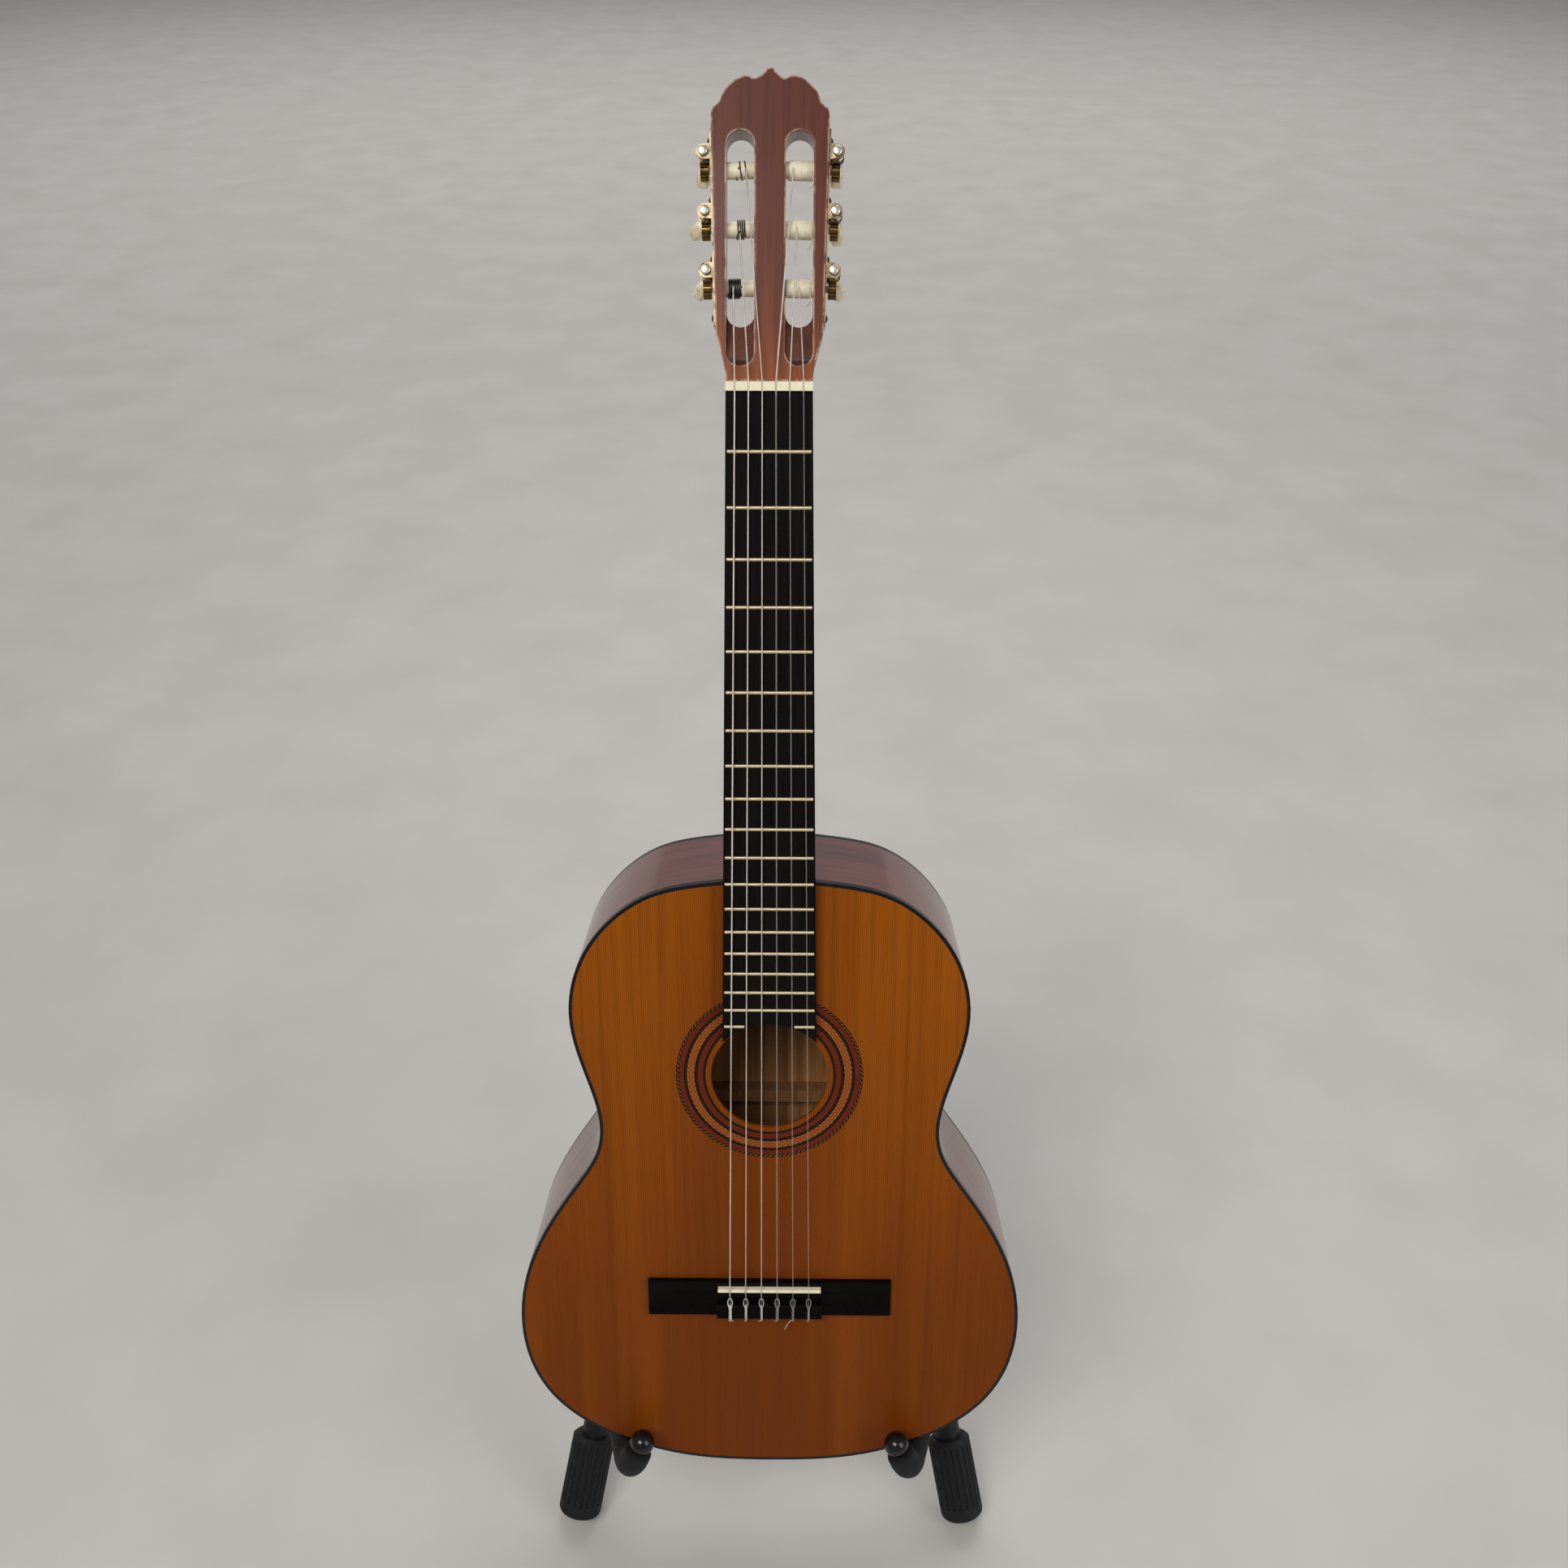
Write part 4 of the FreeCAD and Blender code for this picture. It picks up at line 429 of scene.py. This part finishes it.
def make_pearl():
    """Cream imitation pearl: swirling pale bands under a hard gloss."""
    shader = Shader(
        "pearl", HEAD_SPACE, Coat_Weight=0.7, Coat_Roughness=0.08, Subsurface_Weight=0.15,
        Subsurface_Scale=0.004,
    )
    swirl = shader.noise((95, 95, 95), detail=4, roughness=0.6, distortion=2.5)
    amber, cream, white = (0.66, 0.54, 0.33), (0.86, 0.76, 0.53), (0.95, 0.88, 0.70)
    shader.colour(shader.ramp(swirl, [(0.3, amber), (0.5, cream), (0.68, white)]))
    shader.roughness(shader.spread(swirl, 0.3, 0.7, 0.22, 0.36))
    shader.bump(swirl, 0.00005, 0.3)
    return shader.material


def make_wound_string():
    """Silvered wire wound close round the string, dull where fingers have been."""
    shader = Shader("wound_string", GUITAR_SPACE, Metallic=1.0)
    wire_pitch = 0.4 * MM
    turns = shader.maths("SINE", shader.maths("MULTIPLY", shader.axes()[2], 2 * math.pi / wire_pitch))
    tarnish = shader.noise((300, 300, 20), detail=3)
    shader.colour(shader.ramp(tarnish, [(0.3, (0.74, 0.66, 0.55)), (0.7, (0.95, 0.90, 0.82))]))
    shader.roughness(shader.spread(tarnish, 0.3, 0.7, 0.42, 0.58))
    shader.bump(turns, 0.00005, 0.6)
    return shader.material


def make_nylon(name, dark, light, clear):
    """Nylon string, more or less see-through below the nut and milky above it."""
    shader = Shader(name, GUITAR_SPACE, IOR=1.45)
    if clear:
        above_nut = shader.spread(shader.axes()[2], NUT_HEIGHT - 4 * MM, NUT_HEIGHT + 11 * MM, 0, 0.6)
        shader.feed(shader.surface.inputs["Alpha"], shader.maths("ADD", above_nut, 1 - clear))
    haze = shader.noise((400, 400, 30), detail=3)
    shader.colour(shader.ramp(haze, [(0.3, dark), (0.7, light)]))
    shader.roughness(shader.spread(haze, 0.3, 0.7, 0.2, 0.34))
    shader.bump(haze, 0.00002, 0.3)
    return shader.material


def make_foam():
    """Closed-cell foam sleeve: matte, with tiny open cells and a dusty bloom."""
    shader = Shader("foam", ROW_SPACE, Sheen_Weight=0.05, Sheen_Roughness=0.6, Specular_IOR_Level=0.2)
    cells = shader.tree.nodes.new("ShaderNodeTexVoronoi")
    shader.link(shader.stretched(1400, 1400, 1400), cells.inputs["Vector"])
    cells.inputs["Scale"].default_value = 1.0
    pits = cells.outputs["Distance"]
    dust = shader.noise((70, 70, 70), detail=4, roughness=0.6)
    tone = shader.ramp(pits, [(0.1, (0.005, 0.005, 0.0055)), (0.7, (0.014, 0.014, 0.015))])
    shader.colour(shader.mix(shader.spread(dust, 0.5, 0.8, 0, 0.4), tone, (0.024, 0.0235, 0.0235)))
    shader.roughness(shader.spread(dust, 0.3, 0.7, 0.78, 0.95))
    shader.bump(pits, 0.0003, 0.6)
    return shader.material


def make_metal(name, dark, light, rough, space=HEAD_SPACE, scratch_depth=0.00003):
    """Metal with patches of tarnish; the scratches are optional."""
    shader = Shader(name, space, Metallic=1.0)
    age = shader.noise((120, 120, 120), detail=5, roughness=0.65)
    shader.colour(shader.ramp(age, [(0.32, dark), (0.5, light), (0.75, scaled(light, 1.12))]))
    shader.roughness(shader.spread(age, 0.3, 0.7, rough * 1.35, rough * 0.8))
    if scratch_depth:
        shader.bump(shader.noise((900, 900, 60), detail=2), scratch_depth, 0.3)
    return shader.material


MATERIALS = {
    "soundboard": make_soundboard(),
    "rosette": make_rosette(),
    "binding": make_plain(
        "binding", (0.003, 0.003, 0.0035), (0.007, 0.0065, 0.007), 0.28, Specular_IOR_Level=0.4,
    ),
    "ribs": make_dark_wood(
        "ribs", GUITAR_SPACE, (0.16, 0.038, 0.030), (0.060, 0.014, 0.013), (30, 900, 30), 0.7,
    ),
    "back": make_dark_wood(
        "back", GUITAR_SPACE, (0.15, 0.036, 0.026), (0.055, 0.013, 0.011), (900, 30, 26), 0.7,
        bare_inside=True,
    ),
    "neck": make_dark_wood(
        "neck", GUITAR_SPACE, (0.19, 0.062, 0.030), (0.085, 0.024, 0.014), (800, 800, 24), 0.45,
    ),
    "head": make_dark_wood(
        "head", HEAD_SPACE, (0.20, 0.060, 0.028), (0.085, 0.022, 0.013), (800, 800, 24), 0.45,
    ),
    "veneer": make_head_veneer(),
    "bare": make_bare_wood(),
    "ebony": make_ebony("ebony", 1.0),
    "bridge": make_ebony("bridge_wood", 0.6),
    "bridge_edge": make_worn_ebony(),
    "fret": make_metal("fret", (0.80, 0.64, 0.38), (0.88, 0.74, 0.48), 0.42, GUITAR_SPACE, 0),
    "bone": make_plain(
        "bone", (0.96, 0.85, 0.58), (0.99, 0.95, 0.74), 0.34, 300.0, Coat_Weight=0.2, Subsurface_Weight=0.1,
        Subsurface_Scale=0.002,
    ),
    "wound": make_wound_string(),
    "nylon": make_nylon("nylon", (0.60, 0.54, 0.46), (0.80, 0.76, 0.70), 0.84),
    "tied_nylon": make_nylon("tied_nylon", (0.30, 0.28, 0.25), (0.62, 0.60, 0.56), 0.5),
    "wound_nylon": make_nylon("wound_nylon", (0.92, 0.81, 0.58), (0.98, 0.93, 0.75), 0.0),
    "dark_wound": make_metal("dark_wound", (0.020, 0.019, 0.018), (0.10, 0.095, 0.085), 0.42),
    "plate": make_metal("plate", (0.055, 0.036, 0.018), (0.36, 0.28, 0.17), 0.32),
    "screw": make_metal("screw", (0.022, 0.018, 0.015), (0.10, 0.085, 0.07), 0.36),
    "gear": make_metal("gear", (0.010, 0.007, 0.004), (0.26, 0.16, 0.055), 0.26),
    "worm": make_metal("worm", (0.60, 0.53, 0.40), (0.88, 0.83, 0.69), 0.3),
    "roller": make_plain("roller", (0.84, 0.72, 0.47), (0.98, 0.91, 0.70), 0.36, 260.0, space=HEAD_SPACE),
    "pearl": make_pearl(),
    "paint": make_plain(
        "paint", (0.0035, 0.0035, 0.0038), (0.0085, 0.0085, 0.009), 0.44, 1800.0, 0.00006, ROW_SPACE,
        Specular_IOR_Level=0.36,
    ),
    "rubber": make_plain(
        "rubber", (0.0055, 0.0055, 0.0058), (0.013, 0.013, 0.0135), 0.62, 900.0, 0.00008, ROW_SPACE,
        Specular_IOR_Level=0.3,
    ),
    "plastic": make_plain(
        "plastic", (0.0055, 0.0055, 0.006), (0.012, 0.012, 0.0125), 0.42, 1300.0, 0.00005, ROW_SPACE,
        Specular_IOR_Level=0.36,
    ),
    "gloss": make_plain(
        "gloss", (0.003, 0.003, 0.0035), (0.007, 0.007, 0.0075), 0.2, 240.0, 0.00001, ROW_SPACE,
        Specular_IOR_Level=0.5,
    ),
    "steel": make_metal("steel", (0.22, 0.22, 0.22), (0.5, 0.5, 0.5), 0.3, ROW_SPACE),
    "foam": make_foam(),
}

NODE_MATERIALS = {
    "soundboard": "soundboard", "rosette": "rosette", "bindings": "binding", "rib_left": "ribs",
    "rib_right": "ribs", "back_plate": "back", "linings": "bare", "end_blocks": "bare", "braces": "bare",
    "neck": "neck",
    "heel_cap": "ebony", "headstock": "head", "headplate": "veneer", "fingerboard": "ebony", "frets": "fret",
    "nut": "bone", "bridge": "bridge", "saddle": "bone", "bass_strings": "wound", "treble_strings": "nylon",
    "tuner_plates": "plate", "plate_screws": "screw", "front_frame": "paint", "front_feet": "rubber",
    "hub": "plastic", "hinge_pin": "steel", "rear_leg": "paint", "rear_foot": "rubber", "arm_left": "gloss",
    "arm_right": "gloss", "backrest_pads": "foam", "arm_pad_left": "foam", "arm_pad_right": "foam",
}
TUNER_MATERIALS = {"roller": "roller", "gear": "gear", "worm": "worm", "button": "pearl"}
for string in STRINGS:
    for tuner_part, material_name in TUNER_MATERIALS.items():
        NODE_MATERIALS[f"{tuner_part}_{string}"] = material_name


def dress(node, *names):
    """Give a CAD node its materials, the first one on all its faces."""
    slots = NODES[node].data.materials
    slots.clear()
    for name in names:
        slots.append(MATERIALS[name])


for node_name, material_name in NODE_MATERIALS.items():
    dress(node_name, material_name)


# ------------------------------------------------------------------ softened edges on CAD nodes


def soften(node, width, segments=2, edge_slot=-1):
    """Round a CAD node's sharp edges; the new faces may take a second material."""
    weld = NODES[node].modifiers.new("weld", "WELD")
    weld.merge_threshold = 1e-6
    flat = NODES[node].modifiers.new("flat", "DECIMATE")
    flat.decimate_type = "DISSOLVE"
    flat.angle_limit = math.radians(0.6)
    bevel = NODES[node].modifiers.new("bevel", "BEVEL")
    bevel.width = width
    bevel.segments = segments
    bevel.limit_method = "ANGLE"
    bevel.angle_limit = math.radians(40)
    bevel.harden_normals = True
    bevel.material = edge_slot


dress("bridge", "bridge", "bridge_edge")
soften("bridge", 0.4 * MM, edge_slot=1)
soften("nut", 0.9 * MM, segments=3)
soften("hub", 1.2 * MM)
soften("tuner_plates", 0.25 * MM)


# ------------------------------------------------------------------ new pieces


def mesh_object(name, mesh, material, body):
    """A mesh as a piece that rides on a body."""
    item = bpy.data.objects.new(name, mesh)
    bpy.context.scene.collection.objects.link(item)
    item.data.materials.clear()
    item.data.materials.append(MATERIALS[material])
    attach(item, body)
    return item


def foam_sleeve(node, body):
    """Foam in place of a CAD sleeve: its ends rounded over, its skin slightly lumpy."""
    source = NODES[node]
    item = mesh_object("foam_" + node, source.data.copy(), "foam", body)
    remesh = item.modifiers.new("remesh", "REMESH")
    remesh.mode = "VOXEL"
    remesh.voxel_size = 1.3 * MM
    smooth = item.modifiers.new("smooth", "SMOOTH")
    smooth.iterations = 5
    smooth.factor = 0.5
    lumps = bpy.data.textures.new("lumps_" + node, "CLOUDS")
    lumps.noise_scale = 12 * MM
    swell = item.modifiers.new("swell", "DISPLACE")
    swell.texture = lumps
    swell.strength = 0.7 * MM
    swell.mid_level = 0.62
    evaluated = item.evaluated_get(bpy.context.evaluated_depsgraph_get())
    baked = bpy.data.meshes.new_from_object(evaluated)
    item.modifiers.clear()
    item.data = baked
    for face in item.data.polygons:
        face.use_smooth = True
    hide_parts(node)


FOAM_BODIES = {"arm_pad_left": "arm_left", "arm_pad_right": "arm_right", "backrest_pads": "stand_frame"}
for pad, body in FOAM_BODIES.items():
    foam_sleeve(pad, body)


def joint_frame(name):
    """Matrix at a joint: local z along its axis, local x square to it."""
    joint = JOINTS[name]
    along = Vector(joint["axis"]).normalized()
    guide = Vector((0, -math.cos(HEAD_LEAN), math.sin(HEAD_LEAN)))
    if abs(guide.dot(along)) > 0.9:
        guide = Vector((1, 0, 0))
    across = (guide - along * guide.dot(along)).normalized()
    third = along.cross(across)
    matrix = Matrix((across, third, along)).transposed().to_4x4()
    matrix.translation = Vector(joint["pos_m"])
    return matrix


def strand(name, points, radius, material, body):
    """Round strand along points, as a smooth curve."""
    curve = bpy.data.curves.new(name, "CURVE")
    curve.dimensions = "3D"
    curve.bevel_depth = radius
    curve.bevel_resolution = 3
    spline = curve.splines.new("NURBS")
    spline.points.add(len(points) - 1)
    for target, point in zip(spline.points, points):
        target.co = (*point, 1)
    spline.order_u = 3
    spline.use_endpoint_u = True
    curve.materials.append(MATERIALS[material])
    item = bpy.data.objects.new(name, curve)
    bpy.context.scene.collection.objects.link(item)
    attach(item, body)


def winding(number, start, end, material, loose=0.0, spacing=2.04):
    """String wound on a roller between two distances from the slot's middle, in metres.

    Spacing is from turn to turn, in radii of the string; loose is how far the free end stands up.
    """
    matrix = joint_frame(f"roller_turn_{number}")
    radius = STRING_RADII[number - 1]
    turns = max(1, round((end - start) / (spacing * radius)))
    points = []
    steps = 10
    for step in range(turns * steps + 1):
        angle = 2 * math.pi * step / steps
        along = start + (end - start) * step / (turns * steps) - SLOT_TO_SIDE
        reach = (BARREL_RADIUS + radius * 1.02) / math.cos(math.pi / steps) ** 0.9
        points.append(matrix @ Vector((reach * math.cos(angle), reach * math.sin(angle), along)))
    if loose:
        last = end - SLOT_TO_SIDE
        for out, up, side in ((7.5, 2, 0), (8.5, 5.5, -1), (7.5, 8.5, -2.5)):
            points.append(matrix @ Vector((out * MM, up * MM * loose, last + side * MM)))
    strand(f"winding_{number}", points, radius, material, f"roller_{number}")


winding(1, 0.7 * MM, 8.3 * MM, "dark_wound", 1.0)
winding(2, -2.8 * MM, 2.4 * MM, "dark_wound", 0.8, spacing=2.6)
winding(3, -4.5 * MM, 1.8 * MM, "dark_wound", spacing=8.0)
winding(4, -7.6 * MM, 7.8 * MM, "wound_nylon", 0.7)
winding(5, -7.0 * MM, 7.8 * MM, "wound_nylon", 0.9)
winding(6, -7.4 * MM, 7.8 * MM, "wound_nylon", 0.8)


def twist(middle, radius, rise, start_angle, downward=False):
    """Three turns of a string's end round its own standing part, on top of the tie block, in guitar space."""
    turns, steps = 3, 8
    reach = 1.7 * radius
    core = -BLOCK_TOP - 2.2 * radius
    points = []
    for step in range(turns * steps + 1):
        share = step / (turns * steps)
        if downward:
            share = 1 - share
        angle = 2 * math.pi * turns * share + start_angle
        height = BLOCK_LOW + rise + (BLOCK_HIGH - BLOCK_LOW - 1.0 * MM) * share
        points.append((middle + reach * math.cos(angle), core + 0.6 * reach * math.sin(angle), height))
    return points


def tie(number, material, end_side):
    """The string's end: up over the tie block, an eye round the string, and back down to a loose end."""
    middle = (number - 3.5) * SADDLE_SPACING
    radius = STRING_RADII[number - 1]
    points = twist(middle, radius, 0.4 * MM, 0.0)
    eye = [
        (1.5, -10.4, 154.2), (1.75, -10.0, 156.6), (1.2, -10.3, 159.4), (0.0, -10.9, 160.6),
        (-1.2, -10.3, 159.4), (-1.75, -10.0, 156.6), (-1.5, -10.4, 154.2), (-0.4, -10.6, 152.0),
    ]
    points += [(middle + x * MM, y * MM, z * MM) for x, y, z in eye]
    points += twist(middle, radius, 0.2 * MM, math.pi, downward=True)
    loose = [(0.3, -9.4, 139.4), (0.9, -8.4, 138.6), (2.4, -8.0, 138.2)]
    points += [(middle + end_side * x * MM, y * MM, z * MM) for x, y, z in loose]
    placed = [GUITAR_MATRIX @ Vector(point) for point in points]
    strand(f"tie_{number}", placed, radius * 0.86, material, "guitar")


for number, end_side in ((1, 1), (2, -0.5), (3, -1)):
    tie(number, "wound", end_side)
for number, end_side in ((4, -1), (5, 0.4), (6, -0.6)):
    tie(number, "tied_nylon", end_side)

# a long loose end of one treble string, below the tie block
whisker = [(17.0, -9.0, 139.8), (15.6, -7.8, 138.2), (13.6, -5.6, 133.4), (11.6, -4.2, 127.6)]
whisker_points = [GUITAR_MATRIX @ (Vector(point) * MM) for point in whisker]
strand("tie_whisker", whisker_points, 0.2 * MM, "wound_nylon", "guitar")


# the worm's radii, its thread's pitch and half length, and the ends of the lug that carries it
WORM_SHAFT, WORM_ROOT, WORM_TIP, WORM_HEAD = 1.5 * MM, 2.5 * MM, 3.6 * MM, 3.0 * MM
WORM_PITCH = 2.4 * MM
THREAD_END = 4.9 * MM
LUG_OUT, LUG_IN = 7.2 * MM, 6.0 * MM
LUG_PLAY = 0.2 * MM


def worm_outline():
    """Places along the worm with the radius at each; no radius where the thread is."""
    head_end, button_end = 10.1 * MM, 17.5 * MM
    thread_rows = 44
    head = [
        (-head_end, 0.0), (-head_end, 2.3 * MM), (-9.9 * MM, 2.75 * MM), (-9.5 * MM, WORM_HEAD),
        (-LUG_OUT - LUG_PLAY, WORM_HEAD), (-LUG_OUT - LUG_PLAY, WORM_SHAFT),
        (-LUG_IN + LUG_PLAY, WORM_SHAFT), (-LUG_IN + LUG_PLAY, WORM_ROOT),
    ]
    thread = [(THREAD_END * (2 * row / thread_rows - 1), None) for row in range(thread_rows + 1)]
    tail = [
        (LUG_IN - LUG_PLAY, WORM_ROOT), (LUG_IN - LUG_PLAY, WORM_SHAFT), (button_end, WORM_SHAFT),
        (button_end, 0.0),
    ]
    return head + thread + tail


def thread_radius(along, turn):
    """Radius of the helical thread at a place along the worm and a share of a turn round it."""
    phase = (along / WORM_PITCH - turn) % 1.0
    crest = max(0.0, min(1.0, (0.36 - abs(phase - 0.5)) / 0.16))
    fade = max(0.0, min(1.0, (THREAD_END - abs(along)) / MM))
    return WORM_ROOT + (WORM_TIP - WORM_ROOT) * crest * fade


def worm_piece(number):
    """Worm with a true helical thread, in place of the CAD worm's rings."""
    around = 24
    matrix = joint_frame(f"button_turn_{number}")
    build = bmesh.new()
    rows = []
    for along, radius in worm_outline():
        row = []
        for step in range(around):
            turn = step / around
            angle = 2 * math.pi * turn
            reach = thread_radius(along, turn) if radius is None else radius
            point = Vector((reach * math.cos(angle), reach * math.sin(angle), along))
            row.append(build.verts.new(matrix @ point))
        rows.append(row)
    for first, second in zip(rows, rows[1:]):
        for step in range(around):
            after = (step + 1) % around
            build.faces.new((first[step], first[after], second[after], second[step]))
    bmesh.ops.remove_doubles(build, verts=build.verts, dist=1e-7)
    bmesh.ops.recalc_face_normals(build, faces=build.faces)
    mesh = bpy.data.meshes.new(f"threaded_worm_{number}")
    build.to_mesh(mesh)
    build.free()
    mesh.shade_smooth()
    mesh.set_sharp_from_angle(angle=math.radians(38))
    item = mesh_object(mesh.name, mesh, "worm", f"worm_{number}")
    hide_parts(f"worm_{number}")


for string in STRINGS:
    worm_piece(string)


# ------------------------------------------------------------------ floor, light and camera


def make_floor():
    """Wide pale floor, not part of the object."""
    size = 12.0
    corners = [(-size, -size, 0), (size, -size, 0), (size, size, 0), (-size, size, 0)]
    mesh = bpy.data.meshes.new("floor")
    mesh.from_pydata(corners, [], [(0, 1, 2, 3)])
    floor = bpy.data.objects.new("floor", mesh)
    bpy.context.scene.collection.objects.link(floor)
    shader = Shader("floor")
    speck = shader.noise((6, 6, 6), detail=4)
    shader.colour(shader.ramp(speck, [(0.3, (0.52, 0.495, 0.46)), (0.7, (0.57, 0.545, 0.51))]))
    shader.roughness(0.85)
    mesh.materials.append(shader.material)


def area_light(name, place, target, size, power, colour=(1, 1, 1)):
    """Rectangular light at a place, turned to a target."""
    lamp = bpy.data.lights.new(name, "AREA")
    lamp.shape = "RECTANGLE"
    lamp.size, lamp.size_y = size
    lamp.energy = power
    lamp.color = colour
    item = bpy.data.objects.new(name, lamp)
    item.location = place
    item.rotation_euler = (Vector(target) - Vector(place)).to_track_quat("-Z", "Y").to_euler()
    bpy.context.scene.collection.objects.link(item)


def make_world():
    """Even, slightly cool light from all round."""
    world = bpy.data.worlds.new("studio")
    world.use_nodes = True
    background = world.node_tree.nodes["Background"]
    background.inputs["Color"].default_value = (0.93, 0.95, 1.0, 1)
    background.inputs["Strength"].default_value = 0.23
    bpy.context.scene.world = world


def make_camera():
    """Standing viewer's camera, looking down at the soundboard nearly along the guitar's own centre line."""
    lens = bpy.data.cameras.new("camera")
    lens.sensor_width = 36
    lens.lens = 33.54
    camera = bpy.data.objects.new("camera", lens)
    place = GUITAR_BASE + Vector((0.0149, -0.6322, 1.1062))
    lean = -GUITAR_LEAN
    # the viewer's axes when facing the soundboard squarely
    square = Matrix((
        (1, 0, 0),
        (0, math.sin(lean), -math.cos(lean)),
        (0, math.cos(lean), math.sin(lean)),
    ))
    pitch, yaw, roll = math.radians(-18.43), math.radians(0.3), math.radians(0.28)
    turn = Matrix.Rotation(pitch, 3, "X") @ Matrix.Rotation(yaw, 3, "Y") @ Matrix.Rotation(roll, 3, "Z")
    camera.matrix_world = Matrix.Translation(place) @ (square @ turn).to_4x4()
    bpy.context.scene.collection.objects.link(camera)
    bpy.context.scene.camera = camera


make_floor()
make_world()
area_light("key", (-0.9, -1.6, 2.6), (0, 0, 0.5), (1.4, 1.0), 36, (1.0, 0.98, 0.95))
area_light("fill", (1.7, -1.2, 1.5), (0, 0, 0.5), (1.2, 1.6), 15, (0.95, 0.97, 1.0))
area_light("rim", (0.3, 1.5, 2.4), (0, 0, 0.7), (1.8, 0.8), 18)
area_light("far_floor", (0, 5.5, 3.4), (0, 5.5, 0), (9, 6.5), 190)
make_camera()
bpy.context.scene.view_settings.view_transform = "Standard"
